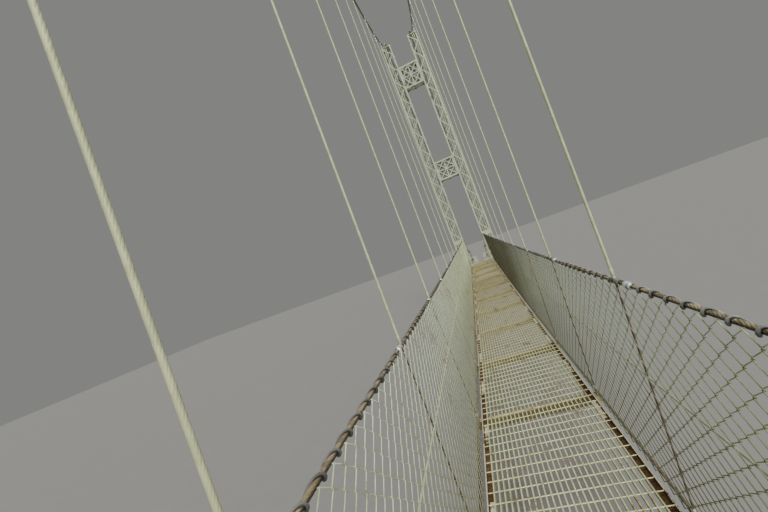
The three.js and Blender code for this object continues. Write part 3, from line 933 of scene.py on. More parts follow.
for name, start, end in SECTIONS:
    make_bearing_bars(name, start, end)
    make_cross_rods(name, start, end)
print("grating triangles", sum(triangle_counts.values()))

# %% [markdown]
# The sides are chain link. Each wire is bent into a zigzag and runs from the foot rope up to the
# handrail, and every bend hooks round a bend of its neighbour. A wire passes from behind to the
# front at each bend, so the bends interlock instead of cutting through each other.

# %% Chain-link sides
COLUMN = 0.0465
ROW = 0.0405
WIRE_RADIUS = 0.0022
HALF_BEND = 0.0022
MESH_BELOW = 0.020
MESH_INSIDE = 0.0125
MESH_TO_TOWER = 0.0135
MESH_WIRE = {-1: LEFT_WIRE_PAINTED_LIGHT, 1: RIGHT_WIRE_PAINTED_SHADE}
WIRE_RING = np.array([(1, 0), (0, math.sqrt(2)), (-1, 0), (0, -math.sqrt(2))]) * WIRE_RADIUS


def wire_bends(rows):
    """Heights, depths and row numbers along one wire, with two points at every bend inside it."""
    row = (RAIL_HEIGHT + MESH_BELOW) / rows
    heights = np.repeat(np.arange(rows + 1) * row - MESH_BELOW, 2)
    heights[0::2] -= HALF_BEND
    heights[1::2] += HALF_BEND
    depths = np.tile([WIRE_RADIUS, -WIRE_RADIUS], rows + 1)
    at_row = np.repeat(np.arange(rows + 1), 2)
    return heights[1:-1], depths[1:-1], at_row[1:-1]


def make_side_mesh(name, side_name, side, start, end):
    shapes = Shapes()
    reach = TOWER_FACE - MESH_TO_TOWER
    start, end = max(start, -reach), min(end, reach)
    columns = 2 * round((end - start) / COLUMN / 2)
    column = (end - start) / columns
    heights, depths, at_row = wire_bends(round((RAIL_HEIGHT + MESH_BELOW) / ROW))
    quads = ring_quads(len(heights), 4, FOUR_SIDED)
    for i in range(columns):
        to_right = (at_row + i) % 2 == 1
        ys = start + (i + to_right) * column + np.where(to_right, WIRE_RADIUS, -WIRE_RADIUS)
        ys = np.clip(ys, 2 * WIRE_RADIUS - reach, reach - 2 * WIRE_RADIUS)
        centre = side_point(side, ys, heights, MESH_INSIDE + np.where(to_right, depths, -depths))
        points = np.repeat(centre[:, None], 4, axis=1)
        points[..., :2] += WIRE_RING
        shapes.add(points.reshape(-1, 3), quads)
    piece = shapes.piece(f"{name}_{side_name}_chain_link", MESH_WIRE[side], "chain_link", smooth=True)
    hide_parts(f"{name}_{side_name}_mesh")


for name, start, end in SECTIONS:
    for side_name, side in SIDES:
        make_side_mesh(name, side_name, side, start, end)
print("triangles in one end side mesh", triangle_counts["north_left_chain_link"])

# %% [markdown]
# Each side has three ropes from tower to tower: the thick handrail, a thin middle rope that keeps
# the mesh flat, and the foot rope. A lashing wire winds round the handrail and the top of the
# mesh, one turn every 100 mm, and another laces the mesh to the foot rope. The lashings are
# helices wound about the rope's own line.

# %% Ropes and lashings along the sides
RAIL_RADIUS = 0.0092
FOOT_RADIUS = 0.009
MIDDLE_RADIUS = 0.0045
MIDDLE_STEEL = {-1: HANGER_STEEL, 1: DULL_STEEL}
LASHING_STEEL = {-1: LEFT_LASHING, 1: RIGHT_LASHING}
LASHING_PITCH = 0.100
LASHING_RADIUS = 0.0042
LASHING_TO_TOWER = 0.06
LOOP_INWARDS = 0.002
KNOT_SWELLING = 0.25
SLIP = 0.9
SLOW_TURN = {-1: math.radians(-20), 1: math.radians(25)}
LACE_PITCH = 0.140
LACE_RADIUS = 0.002


def rope_line(side, height):
    stops = np.array(bay_stops(SEAM - TOWER_FACE, TOWER_FACE - SEAM))
    return side_point(side, stops, height)


def make_side_ropes(side_name, side):
    pieces = []
    for name, height, radius, count, steel in (
        ("handrail_rope", RAIL_HEIGHT, RAIL_RADIUS, 12, RAIL_STEEL),
        ("foot_rope", 0.0, FOOT_RADIUS, 10, TIE_STEEL_SHADED),
        ("middle_rope", MIDDLE_ROPE_HEIGHT, MIDDLE_RADIUS, 8, MIDDLE_STEEL[side]),
    ):
        shapes = Shapes()
        rope(shapes, rope_line(side, height), radius, count)
        pieces.append(shapes.piece(f"{side_name}_{name}", steel, "wire_rope", smooth=True))
    return pieces


def wind(shapes, side, height, loop, pitch, radius, steps, slip=0.0, slow=0.0, inwards=0.0, knot=0.0):
    """A wire wound round a rope. With slip it hardly moves along the rope near the turn called
    slow, and makes up for it opposite. It swells to a knot where it goes through the mesh."""
    half = TOWER_FACE - LASHING_TO_TOWER
    phase = 2 * math.pi * np.arange(int(2 * half / pitch) * steps + 1) / steps
    ahead = phase - slip * np.sin(phase - slow)
    path = side_point(side, half - ahead * pitch / (2 * math.pi), height)
    path[:, 0] -= side * (inwards + loop * np.cos(phase))
    path[:, 2] += loop * np.sin(phase)
    scales = 1 + knot * np.maximum(0, np.cos(phase)) ** 6
    rope(shapes, path, radius, 6, up=(1, 0, 0.01), scales=scales)


def make_lashings(side_name, side):
    shapes = Shapes()
    wind(
        shapes, side, RAIL_HEIGHT, RAIL_RADIUS + LASHING_RADIUS, LASHING_PITCH, LASHING_RADIUS, 18,
        slip=SLIP, slow=SLOW_TURN[side], inwards=LOOP_INWARDS, knot=KNOT_SWELLING,
    )
    wind(shapes, side, 0.0, FOOT_RADIUS + LACE_RADIUS, LACE_PITCH, LACE_RADIUS, 8)
    return shapes.piece(f"{side_name}_lashings", LASHING_STEEL[side], "wire_rope", smooth=True)


for side_name, side in SIDES:
    for piece in [*make_side_ropes(side_name, side), make_lashings(side_name, side)]:
        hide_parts(f"{side_name}_side_ropes")
print("triangles in one side's lashings", triangle_counts["left_lashings"])

# %% [markdown]
# Under an even load a cable hangs in a parabola, so that is the line of the main cables between
# the towers. Its steepness is chosen so that it leaves the saddle's arc without a kink.

# %% Line of the main cables
CABLE_RADIUS = 0.020
CABLE_ANGLE = math.radians(33)
BACKSTAY_ANGLE = math.radians(54)
SADDLE_BEND = 0.220
CROWN = cable_high.z - CABLE_RADIUS
BEND_CENTRE = CROWN - SADDLE_BEND
LEAVE_Y = TOWER_Y - SADDLE_BEND * math.sin(CABLE_ANGLE)
LEAVE_Z = BEND_CENTRE + SADDLE_BEND * math.cos(CABLE_ANGLE)
CABLE_CURVE = math.tan(CABLE_ANGLE) / (2 * LEAVE_Y)
CABLE_MIDDLE = LEAVE_Z - CABLE_CURVE * LEAVE_Y**2


def cable_level(y):
    return CABLE_MIDDLE + CABLE_CURVE * y * y


def cable_slope(y):
    return 2 * CABLE_CURVE * y


print("cable at mid-span", round(cable_level(0.0), 3), "over the saddle", round(CROWN, 3))

# %% [markdown]
# A hanger is held by a bolted band on the main cable. Two cheek plates on the band hold a pin, and
# the rope's end goes round the pin as an eye that two pressed sleeves close. One finished hanger
# could be copied along the cable, but the cable's slope changes from band to band. So each band
# is built from the slope where it sits and from the direction of its own rope.

# %% Bands and rope eyes
HANGER_RADIUS = 0.0073
BAND_GAP = 0.004
BAND_REACH = 0.045
BAND_RADIUS = CABLE_RADIUS + 0.008
CHEEK_X = 0.009
CHEEK_THICKNESS = 0.006
CHEEK_OUTLINE = [(-0.028, 0.012), (0.028, 0.012), (0.020, 0.092), (-0.020, 0.092)]
BAND_BOLT_DROP = 0.036
PIN_DROP = 0.075
PIN_RADIUS = 0.009
EYE_RADIUS = 0.017
EYE_LENGTH = 0.075
EYE_WIRE = HANGER_RADIUS * 0.9
SLEEVE_DROPS = (0.075, 0.135)
SLEEVE_LENGTH = 0.038


def add_cable_band(shapes, crown, tilt, down):
    """A split band round the cable, and cheek plates bolted together round the hanger's pin."""
    for turn in (-1, 1):
        near = crown + tilt * BAND_GAP * turn
        sleeve(shapes, near, crown + tilt * BAND_REACH * turn, BAND_RADIUS, 16)
    for x in (-CHEEK_X, CHEEK_X):
        at = crown + ACROSS * (x - CHEEK_THICKNESS / 2)
        prism(shapes, at, tilt, down, CHEEK_OUTLINE, FOUR_SIDED, ACROSS * CHEEK_THICKNESS)
    pin = crown + down * PIN_DROP
    outside = ACROSS * (CHEEK_X + CHEEK_THICKNESS / 2)
    for turn in (-1, 1):
        bolt(shapes, pin + outside * turn, ACROSS * turn, 0.012, 0.012)
        bolt(shapes, crown + down * BAND_BOLT_DROP + outside * turn, ACROSS * turn, 0.008, 0.008)
    sleeve(shapes, pin - outside, pin + outside, PIN_RADIUS, 10)


def add_rope_eye(shapes, pin, down):
    """The rope's end: round the pin, then both parts together down to the first sleeve."""
    angles = np.linspace(-0.15 * math.pi, 1.15 * math.pi, 11)
    arc = [pin + EYE_RADIUS * (math.cos(a) * ALONG - math.sin(a) * down) for a in angles]
    tail = pin + down * EYE_LENGTH
    path = [tail + ALONG * EYE_WIRE, *arc, tail - ALONG * EYE_WIRE]
    rope(shapes, path, EYE_WIRE, 8, up=np.cross(down, ALONG))


print("a band is", round(2000 * BAND_REACH), "mm long and", round(2000 * BAND_RADIUS), "mm thick")

# %% [markdown]
# Below, the hanger ends at a clip bolted round the handrail, with a bright ferrule beside it. A
# thinner tie goes on from there to a threaded stud through the end of the deck's cross beam.
# Sleeves, bolts and one small plate make these fittings, because finer shapes wouldn't show.

# %% Clips on the handrail and studs in the deck
CLIP_GAP = 0.010
CLIP_REACH = 0.036
CLIP_RADIUS = RAIL_RADIUS + 0.005
CLIP_BOLT = (0.014, 0.026)
FERRULE_OFFSET = {-1: 0.025, 1: 0.120}
FERRULE_LENGTH = 0.060
FERRULE_RADIUS = RAIL_RADIUS + 0.007
STUD_DROP = 0.0875
STUD_RADIUS = 0.006
STUD_SOCKET_RADIUS = 0.011
STUD_PLATE = (0.018, 0.022)
STUD_PLATE_TOP = 0.081


def add_rail_clip(shapes, side, rail):
    for turn in (-1, 1):
        near = rail + ALONG * CLIP_GAP * turn
        sleeve(shapes, near, rail + ALONG * CLIP_REACH * turn, CLIP_RADIUS, 14)
    out, beside = CLIP_BOLT
    for turn in (-1, 1):
        bolt(shapes, rail + ALONG * beside * turn + ACROSS * side * out, ACROSS * side, 0.008, 0.009)


def add_ferrule(shapes, side, y):
    near = y - FERRULE_OFFSET[side]
    start, end = (side_point(side, at, RAIL_HEIGHT) for at in (near, near - FERRULE_LENGTH))
    sleeve(shapes, start, end, FERRULE_RADIUS, 14)


def add_foot_stud(shapes, foot):
    """A stud through the cross beam's end, with its socket above and a plate and a nut below."""
    sleeve(shapes, foot + UPWARD * 0.06, foot + UPWARD * 0.012, STUD_SOCKET_RADIUS, 10)
    sleeve(shapes, foot + UPWARD * 0.02, foot - UPWARD * (STUD_DROP + 0.0005), STUD_RADIUS, 8)
    half = np.array([*STUD_PLATE, 0])
    block(shapes, foot - half - UPWARD * STUD_DROP, foot + half - UPWARD * STUD_PLATE_TOP)
    bolt(shapes, foot - UPWARD * STUD_DROP, -UPWARD, 0.011, 0.012)


print("a clip is", round(2000 * CLIP_REACH), "mm long, a ferrule", round(1000 * FERRULE_LENGTH), "mm")

# %% [markdown]
# With these parts one function sets a whole hanger at a bay joint. A side's hangers are joined by
# finish into fittings, ropes, ties, clips and ferrules, because thirty hangers of five pieces
# each would clutter the scene.

# %% Hangers
TIE_RADIUS = 0.0043
STATIONS = [k * BAY for k in range(1 - BAYS // 2, BAYS // 2)]
HANGER_PIECES = [
    ("hanger_fittings", BOLT_ZINC, False),
    ("hanger_ropes", HANGER_STEEL, True),
    ("hanger_ties", TIE_STEEL_SHADED, True),
    ("rail_clips", CAST_IRON, False),
    ("ferrules", FERRULE_ALLOY, True),
]


def add_hanger(parts, side, y):
    crown = np.array([side * CABLE_X, y, cable_level(y)])
    rail = side_point(side, y, RAIL_HEIGHT)
    foot = side_point(side, y, -GRATING_DEPTH)
    down = unit(rail - crown)
    pin = crown + down * PIN_DROP
    fittings, ropes = parts["hanger_fittings"], parts["hanger_ropes"]
    add_cable_band(fittings, crown, unit([0, 1, cable_slope(y)]), down)
    add_rope_eye(ropes, pin, down)
    for drop in SLEEVE_DROPS:
        sleeve(fittings, pin + down * drop, pin + down * (drop + SLEEVE_LENGTH), HANGER_RADIUS * 1.8)
    rope(ropes, [pin + down * 0.07, rail - down * 0.012], HANGER_RADIUS, 10, up=ALONG)
    sleeve(ropes, rail - down * 0.024, rail - down * 0.060, HANGER_RADIUS * 1.12)
    rope(parts["hanger_ties"], [rail, foot + unit(rail - foot) * 0.02], TIE_RADIUS, 8, up=ALONG)
    add_rail_clip(parts["rail_clips"], side, rail)
    add_ferrule(parts["ferrules"], side, y)
    add_foot_stud(fittings, foot)


def make_hangers(side_name, side):
    parts = {name: Shapes() for name, _, _ in HANGER_PIECES}
    for y in STATIONS:
        add_hanger(parts, side, y)
    for name, material, smooth in HANGER_PIECES:
        piece = parts[name].piece(f"{side_name}_{name}", material, "wire_rope", smooth=smooth)
        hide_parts(f"{side_name}_side_ropes")


for side_name, side in SIDES:
    make_hangers(side_name, side)
print("hangers on one side", len(STATIONS), "triangles", triangle_counts["left_hanger_fittings"])

# %% [markdown]
# The main cable is straight between hangers, because each one pulls it down, and bends round the
# saddle in an arc. Behind the tower it runs straight towards the anchor block. The bends at the
# bands are eased a little, as a stiff rope bends.

# %% Main cables
BLOCK_NOSE = 0.150
SOCKET_FROM_BLOCK = 0.95
BAND_EASE = 0.05
MIDDLE_EASE = 0.0001
STAY_Y = TOWER_Y + SADDLE_BEND * math.sin(BACKSTAY_ANGLE)
STAY_Z = BEND_CENTRE + SADDLE_BEND * math.cos(BACKSTAY_ANGLE)
STAY_FOOT = np.array([(block_low.y + block_high.y) / 2, block_high.z - BLOCK_NOSE])
STAY_ALONG = unit([STAY_FOOT[0] - STAY_Y, STAY_FOOT[1] - STAY_Z])


def half_cable_line():
    """Points [y, z] of a main cable from mid-span to its north socket."""
    line = [(0.0, cable_level(0.0) + MIDDLE_EASE)]
    for k in range(1, BAYS // 2):
        y = k * BAY
        for turn in (-1, 1):
            chord = (cable_level(y + turn * BAY) - cable_level(y)) / (turn * BAY)
            line.append((y + turn * BAND_EASE, cable_level(y) + turn * BAND_EASE * chord))
    for angle in np.linspace(-CABLE_ANGLE, BACKSTAY_ANGLE, 9):
        y = TOWER_Y + SADDLE_BEND * math.sin(angle)
        line.append((y, BEND_CENTRE + SADDLE_BEND * math.cos(angle)))
    line.append(tuple(STAY_FOOT - STAY_ALONG * SOCKET_FROM_BLOCK))
    return line


def make_main_cable(side_name, side):
    half = half_cable_line()
    line = [(-y, z) for y, z in reversed(half[1:])] + half
    cable = Shapes()
    rope(cable, [(side * CABLE_X, y, z) for y, z in line], CABLE_RADIUS, 16)
    cable = cable.piece(f"{side_name}_stranded_cable", CABLE_STEEL, "wire_rope", smooth=True)
    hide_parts(f"{side_name}_main_cable")


print("points from mid-span to the socket:", len(half_cable_line()))

# %% [markdown]
# The cable ends in a tapered socket whose wide end sits in a yoke. Two threaded rods go from the
# yoke to a plate on the block. Each rod has a nut on the yoke, a nut let into its far side and a
# lock nut before the plate. Everything is set along the backstay's direction, so the anchorage
# turns with it. The socket is a sweep whose outline changes in size, which gives the taper.

# %% Anchorages
SOCKET_RADIUS = 0.048
SOCKET_STOPS = (-0.06, 0.03, 0.20, 0.24)
SOCKET_SCALES = (0.55, 0.62, 1, 0.85)
YOKE_DROP = 0.20
YOKE_THICKNESS = 0.035
YOKE_OUTLINE = rectangle((-0.12, -0.04), (0.12, 0.04))
STAY_ROD_X = 0.085
STAY_ROD_PAST = 0.09
STAY_ROD_RADIUS = 0.016
LOCK_NUT_RISE = 0.045
STAY_PLATE_RISE = 0.024
STAY_PLATE_THICKNESS = 0.0235
STAY_PLATE_OUTLINE = rectangle((-0.17, -0.11), (0.17, 0.11))


def add_anchorage(shapes, side, end):
    down = np.array([0, end * STAY_ALONG[0], STAY_ALONG[1]])
    square = np.cross(down, ACROSS)
    foot = np.array([side * CABLE_X, end * STAY_FOOT[0], STAY_FOOT[1]])
    socket = foot - down * SOCKET_FROM_BLOCK
    path = [socket + down * stop for stop in SOCKET_STOPS]
    sweep(shapes, path, round_outline(SOCKET_RADIUS, 16), fan_caps(16), ACROSS, scales=SOCKET_SCALES)
    yoke = socket + down * YOKE_DROP
    prism(shapes, yoke, ACROSS, square, YOKE_OUTLINE, FOUR_SIDED, down * YOKE_THICKNESS)
    for x in (-STAY_ROD_X, STAY_ROD_X):
        aside = ACROSS * x
        top = yoke + aside - down * STAY_ROD_PAST
        sleeve(shapes, top, foot + aside - down * 0.002, STAY_ROD_RADIUS, 12)
        for place in (yoke, yoke + down * YOKE_THICKNESS, foot - down * LOCK_NUT_RISE):
            bolt(shapes, place + aside, -down, 0.028, 0.024)
    plate = foot - down * STAY_PLATE_RISE
    prism(shapes, plate, ACROSS, square, STAY_PLATE_OUTLINE, FOUR_SIDED, down * STAY_PLATE_THICKNESS)


def make_anchorages(side_name, side):
    shapes = Shapes()
    for end in (-1, 1):
        add_anchorage(shapes, side, end)
    shapes.piece(f"{side_name}_anchorages", CAST_IRON, "saddle_iron")


for side_name, side in SIDES:
    make_main_cable(side_name, side)
    make_anchorages(side_name, side)
print("triangles in one main cable", triangle_counts["left_stranded_cable"])

# %% [markdown]
# The deck frame is two edge members with channels across below them. Each edge has an upright that
# closes the side of the grating, and a ledge that makes the brown band under the ends of the rods.
# An angle could be swept in one go, but the two have different finishes, so each is its own sweep.

# %% Edge members of the deck
EDGE_WIDTH = 0.050
EDGE_DEPTH = 0.080
LEDGE_THICKNESS = 0.008
LEDGE_LAP = 0.001


def make_edge_members(name, start, end):
    uprights, ledges = Shapes(), Shapes()
    path = deck_line(0.0, np.array(bay_stops(start, end)))
    web = DECK_HALF - UPRIGHT_THICKNESS
    inner, bottom = DECK_HALF - EDGE_WIDTH, -GRATING_DEPTH - LEDGE_THICKNESS
    upright = [(DECK_HALF, -EDGE_DEPTH), (DECK_HALF, 0), (web, 0), (web, -EDGE_DEPTH)]
    ledge = rectangle((inner, bottom), (web + LEDGE_LAP, -GRATING_DEPTH))
    for side in (-1, 1):
        for shapes, outline in ((uprights, upright), (ledges, ledge)):
            sweep(shapes, path, [(side * x, z) for x, z in outline], FOUR_SIDED)
    return [
        uprights.piece(f"{name}_uprights", UPRIGHT_STEEL, "deck_steel"),
        ledges.piece(f"{name}_ledges", RUSTY_STEEL, "deck_steel"),
    ]


print("a ledge is", round(1000 * (EDGE_WIDTH - UPRIGHT_THICKNESS)), "mm wide")

# %% [markdown]
# A channel crosses below the ledges at every hanger and at both ends of the deck. At the hangers
# it reaches past the edge members, because the studs of the ties go through its ends. Channels
# don't bend with the deck, so an outline pushed straight across makes them.

# %% Cross channels
BEAM_WIDTH = 0.060
BEAM_DEPTH = 0.072
BEAM_REACH = 0.525
END_BEAM_REACH = DECK_HALF - 0.001
LAST_BEAM = TOWER_FACE - SEAM - BEAM_WIDTH / 2
CHANNEL_WEB = 0.006
CHANNEL_FLANGE = 0.008


def channel(shapes, low, length, width, depth):
    """A rolled channel across the bridge, with its web at the side of its lowest corner."""
    w, d, t, f = width, depth, CHANNEL_WEB, CHANNEL_FLANGE
    outline = [(0, 0), (w, 0), (w, f), (t, f), (t, d - f), (w, d - f), (w, d), (0, d)]
    caps = [(0, 1, 2, 3), (0, 3, 4, 7), (7, 4, 5, 6)]
    prism(shapes, low, ALONG, UPWARD, outline, caps, ACROSS * length)


def make_channels(name, start, end):
    shapes = Shapes()
    for y in [*STATIONS, -LAST_BEAM, LAST_BEAM]:
        if start < y < end:
            reach = BEAM_REACH if y in STATIONS else END_BEAM_REACH
            top = float(deck_level(y)) - GRATING_DEPTH - LEDGE_THICKNESS
            low = (-reach, y - BEAM_WIDTH / 2, top - BEAM_DEPTH)
            channel(shapes, low, 2 * reach, BEAM_WIDTH, BEAM_DEPTH)
    return [shapes.piece(f"{name}_channels", CHANNEL_STEEL, "deck_steel")]


print("channels:", len(STATIONS), "at hangers and 2 at the ends of the deck")

# %% [markdown]
# Cream cleat plates, bolted to the ledges, hold the grating down. They lie between the outermost
# bar and the upright, three to every two bays. One on the right is lost. Their places follow
# from a first one and a pitch, so one loop sets them all and leaves out the lost one.

# %% Cleats and their bolts
CLEAT_LENGTH = 0.270
CLEAT_WIDTH = 0.026
CLEAT_THICKNESS = 0.006
CLEAT_PITCH = BAY * 2 / 3
CLEAT_X = (GRATING_HALF + DECK_HALF - UPRIGHT_THICKNESS) / 2
FIRST_CLEAT = 0.190
LOST_CLEAT = (-3, 1)


def cleat_places(start, end):
    """The side and the middle of every cleat that lies whole between two ends."""
    half = CLEAT_LENGTH / 2
    for k in range(-BAYS, BAYS):
        y = FIRST_CLEAT + k * CLEAT_PITCH
        for side in (-1, 1):
            if start <= y - half and y + half <= end and (k, side) != LOST_CLEAT:
                yield side, y


def make_cleats(name, start, end):
    cleats, bolts = Shapes(), Shapes()
    for side, y in cleat_places(start, end):
        seat = float(deck_level(y)) - GRATING_DEPTH
        x, top = side * CLEAT_X, seat + CLEAT_THICKNESS
        low = (x - CLEAT_WIDTH / 2, y - CLEAT_LENGTH / 2, seat)
        block(cleats, low, (x + CLEAT_WIDTH / 2, y + CLEAT_LENGTH / 2, top))
        for turn in (-1, 1):
            bolt(bolts, (x, y + turn * CLEAT_LENGTH / 3, top), UPWARD, 0.009, 0.010)
    return [
        cleats.piece(f"{name}_cleats", CREAM_STEEL, "deck_steel"),
        bolts.piece(f"{name}_deck_bolts", BOLT_ZINC, "deck_steel"),
    ]


for name, start, end in SECTIONS:
    pieces = make_edge_members(name, start, end) + make_channels(name, start, end)
    for piece in pieces + make_cleats(name, start, end):
        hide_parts(f"{name}_deck_frame")
print("cleats", sum(len(list(cleat_places(start, end))) for _, start, end in SECTIONS))

# %% [markdown]
# Each tower leg is a square lattice: an angle at every corner and a zigzag of lighter angles on
# every face. Gusset plates lie behind the corner angles and carry the ends of the braces. These
# helpers make a face of lattice work anywhere, so the beams between the legs use them too.

# %% Angles, gussets and their bolts
CHORD = 0.050
CHORD_THICKNESS = 0.006
BRACE = 0.030
BRACE_THICKNESS = 0.004
GUSSET_THICKNESS = 0.005
GUSSET_OUT = 0.030
GUSSET_IN = 0.042
GUSSET_LONG = 0.062
GUSSET_SHORT = 0.030
CHORD_BOLT = (0.018, 0.040)
BRACE_BOLT = (0.010, 0.022)
PLATE = 0.020


def small_bolt(shapes, at, facing):
    bolt(shapes, at, facing, 0.0085, 0.009)


def angle_bar(shapes, start, end, facing, width=BRACE, thickness=BRACE_THICKNESS):
    """A rolled angle with one leg flat in a face and the other pointing into the lattice."""
    start, end = np.asarray(start, float), np.asarray(end, float)
    beside = np.cross(facing, unit(end - start))
    outline, caps = angle_outline(width, thickness)
    prism(shapes, start - beside * width / 2, beside, -facing, outline, caps, end - start)


def corner_angle(shapes, corner, inward_u, inward_v, vector):
    outline, caps = angle_outline(CHORD, CHORD_THICKNESS)
    prism(shapes, corner, inward_u, inward_v, outline, caps, vector)


def gusset(shapes, corners, facing):
    """A four-cornered plate, given by its corners on the outer face."""
    corners = np.asarray(corners, float)
    points = np.concatenate([corners, corners - facing * GUSSET_THICKNESS])
    shapes.add(points, ring_quads(2, 4, FOUR_SIDED))


def lattice_node(shapes, bolts, at, inward, upward, facing, braces):
    """A gusset on a chord, bolted through it, with one bolt on every brace that ends there."""
    layer = at - facing * CHORD_THICKNESS
    outer, inner = layer - inward * GUSSET_OUT, layer + inward * GUSSET_IN
    long, short = upward * GUSSET_LONG, upward * GUSSET_SHORT
    gusset(shapes, [outer - long, inner - short, inner + short, outer + long], facing)
    back, apart = CHORD_BOLT
    for turn in (-1, 1):
        small_bolt(bolts, at - inward * back + upward * apart * turn, facing)
    ahead, along = BRACE_BOLT
    for brace in braces:
        small_bolt(bolts, layer + inward * ahead + brace * along, facing)


print("a gusset is", round(2000 * GUSSET_LONG), "mm high and", round(1000 * GUSSET_THICKNESS), "mm thick")

# %% [markdown]
# The braces of a leg run up each face in turn, from one corner to the next and back, with 28
# panels between the base plate and the cap plate. Every place where two braces meet has a gusset.
# These places are worked out first, and braces and gussets are made from them, so they fit.

# %% Lattice of a tower leg
LEG_PANELS = 28
LEG_BOTTOM = leg_low.z + PLATE
LEG_TOP = leg_high.z - PLATE
GAUGE = LEG_HALF - 0.048
END_NODE_RISE = 0.065
BEHIND_GUSSET = CHORD_THICKNESS + GUSSET_THICKNESS


def leg_faces(centre):
    """Each face as its centre line, its outward normal and the direction along it."""
    for facing in (ACROSS, ALONG, -ACROSS, -ALONG):
        yield centre + facing * LEG_HALF, facing, np.cross(UPWARD, facing)


def face_nodes(face, beside):
    """The places where braces meet on a face, each with the direction into the face."""
    panel = (LEG_TOP - LEG_BOTTOM) / LEG_PANELS
    last = LEG_TOP - LEG_BOTTOM - END_NODE_RISE
    for k in range(LEG_PANELS + 1):
        turn = 1 if k % 2 else -1
        height = LEG_BOTTOM + min(max(k * panel, END_NODE_RISE), last)
        yield face + beside * turn * GAUGE + UPWARD * height, -turn * beside


def add_leg_face(steel, bolts, face, facing, beside):
    nodes = list(face_nodes(face, beside))
    for k, (at, inward) in enumerate(nodes):
        others = [nodes[j][0] for j in (k - 1, k + 1) if 0 <= j <= LEG_PANELS]
        braces = [unit(other - at) for other in others]
        lattice_node(steel, bolts, at, inward, UPWARD, facing, braces)
    layer = -facing * BEHIND_GUSSET
    for (low, _), (high, _) in zip(nodes, nodes[1:]):
        angle_bar(steel, low + layer, high + layer, facing)


def add_leg_corners(steel, centre):
    for sx in (-1, 1):
        for sy in (-1, 1):
            corner = centre + np.array([sx * LEG_HALF, sy * LEG_HALF, LEG_BOTTOM])
            corner_angle(steel, corner, -sx * ACROSS, -sy * ALONG, UPWARD * (LEG_TOP - LEG_BOTTOM))


print("a panel is", round((LEG_TOP - LEG_BOTTOM) / LEG_PANELS, 3), "m high")

# %% [markdown]
# A leg stands on a base plate with anchor bolts and ribs, and ends in a cap plate for the saddle.
# Two plates on the face towards the span hold the ends of the handrail and the foot rope. All of
# this is set out from the middle of the leg, so one function serves all four legs.

# %% Plates of a tower leg
ANCHOR_BOLT_IN = 0.045
ANCHOR_BOLT_ASIDE = 0.075
THREAD_STOPS = (0.018, 0.055)
RIB_IN = 0.012
RIB_OUTLINE = [(-0.04, 0.0), (0.04, 0.0), (0.022, 0.09), (-0.022, 0.09)]
RIB_THICKNESS = 0.008
ROPE_PLATE = 0.160
ROPE_PLATE_THICKNESS = 0.012
ROPE_PLATE_BOLT = (0.025, 0.05)
FOOT_PLATE_EDGE = FOOT_X - 0.035
ROPE_SOCKET_LENGTH = 0.10


def add_end_plates(steel, centre):
    half = np.array([LEG_HALF, LEG_HALF, 0])
    for level in (leg_low.z, LEG_TOP):
        low = centre + UPWARD * level
        block(steel, low - half, low + half + UPWARD * PLATE)


def add_base_fixings(steel, bolts, centre):
    base = centre + UPWARD * LEG_BOTTOM
    for _, facing, beside in leg_faces(base):
        for turn in (-1, 1):
            foot = base + facing * (LEG_HALF - ANCHOR_BOLT_IN) + beside * turn * ANCHOR_BOLT_ASIDE
            bolt(bolts, foot, UPWARD, 0.019, 0.020)
            low, high = (foot + UPWARD * stop for stop in THREAD_STOPS)
            sleeve(bolts, low, high, 0.011, 10)
        rib_foot = base + facing * (LEG_HALF - RIB_IN)
        prism(steel, rib_foot, beside, UPWARD, RIB_OUTLINE, FOUR_SIDED, -facing * RIB_THICKNESS)


def add_rope_plate(steel, bolts, side, end, middle, inner, rope_x):
    """A plate across a leg's face with four bolts, and the socket of the rope that ends at it."""
    near, outer = end * TOWER_FACE, LEG_X + LEG_HALF
    far = near - end * ROPE_PLATE_THICKNESS
    xs = sorted((side * inner, side * outer))
    low = (xs[0], min(near, far), middle - ROPE_PLATE / 2)
    block(steel, low, (xs[1], max(near, far), middle + ROPE_PLATE / 2))
    edge, rise = ROPE_PLATE_BOLT
    for x in (inner + edge, outer - edge):
        for turn in (-1, 1):
            bolt(bolts, (side * x, far, middle + turn * rise), -end * ALONG, 0.011, 0.011)
    spot = np.array([side * rope_x, far, middle])
    sleeve(bolts, spot - end * ALONG * ROPE_SOCKET_LENGTH, spot + end * ALONG * 0.002, 0.019, 14)
    bolt(bolts, spot - end * ALONG * 0.004, -end * ALONG, 0.027, 0.018)


def make_leg(name, side_name, end, side):
    steel, bolts = Shapes(), Shapes()
    centre = np.array([side * LEG_X, end * TOWER_Y, 0])
    add_leg_corners(steel, centre)
    for face, facing, beside in leg_faces(centre):
        add_leg_face(steel, bolts, face, facing, beside)
    add_end_plates(steel, centre)
    add_base_fixings(steel, bolts, centre)
    rail_level = DECK_END + RAIL_HEIGHT
    add_rope_plate(steel, bolts, side, end, rail_level, LEG_X - LEG_HALF, RAIL_X_AT_TOWER)
    add_rope_plate(steel, bolts, side, end, DECK_END, FOOT_PLATE_EDGE, FOOT_X)
    steel = steel.piece(f"{name}_{side_name}_lattice_leg", TOWER_PAINT, "tower_steel")
    bolts = bolts.piece(f"{name}_{side_name}_leg_bolts", BOLT_ZINC, "tower_steel")
    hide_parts(f"{name}_{side_name}_leg")
    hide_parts(f"{name}_{side_name}_leg")


for name, end in ENDS:
    for side_name, side in SIDES:
        make_leg(name, side_name, end, side)
leg_pieces = ["north_left_lattice_leg", "north_left_leg_bolts"]
print("triangles in one leg", sum(triangle_counts[piece] for piece in leg_pieces))

# %% [markdown]
# Two box trusses tie the legs of a tower together. Their faces are crossed braces in small
# panels, which makes them look denser than the legs, and each crossing has its own plate. Bars
# and plates are set out from nine places on a face, three across and three up.

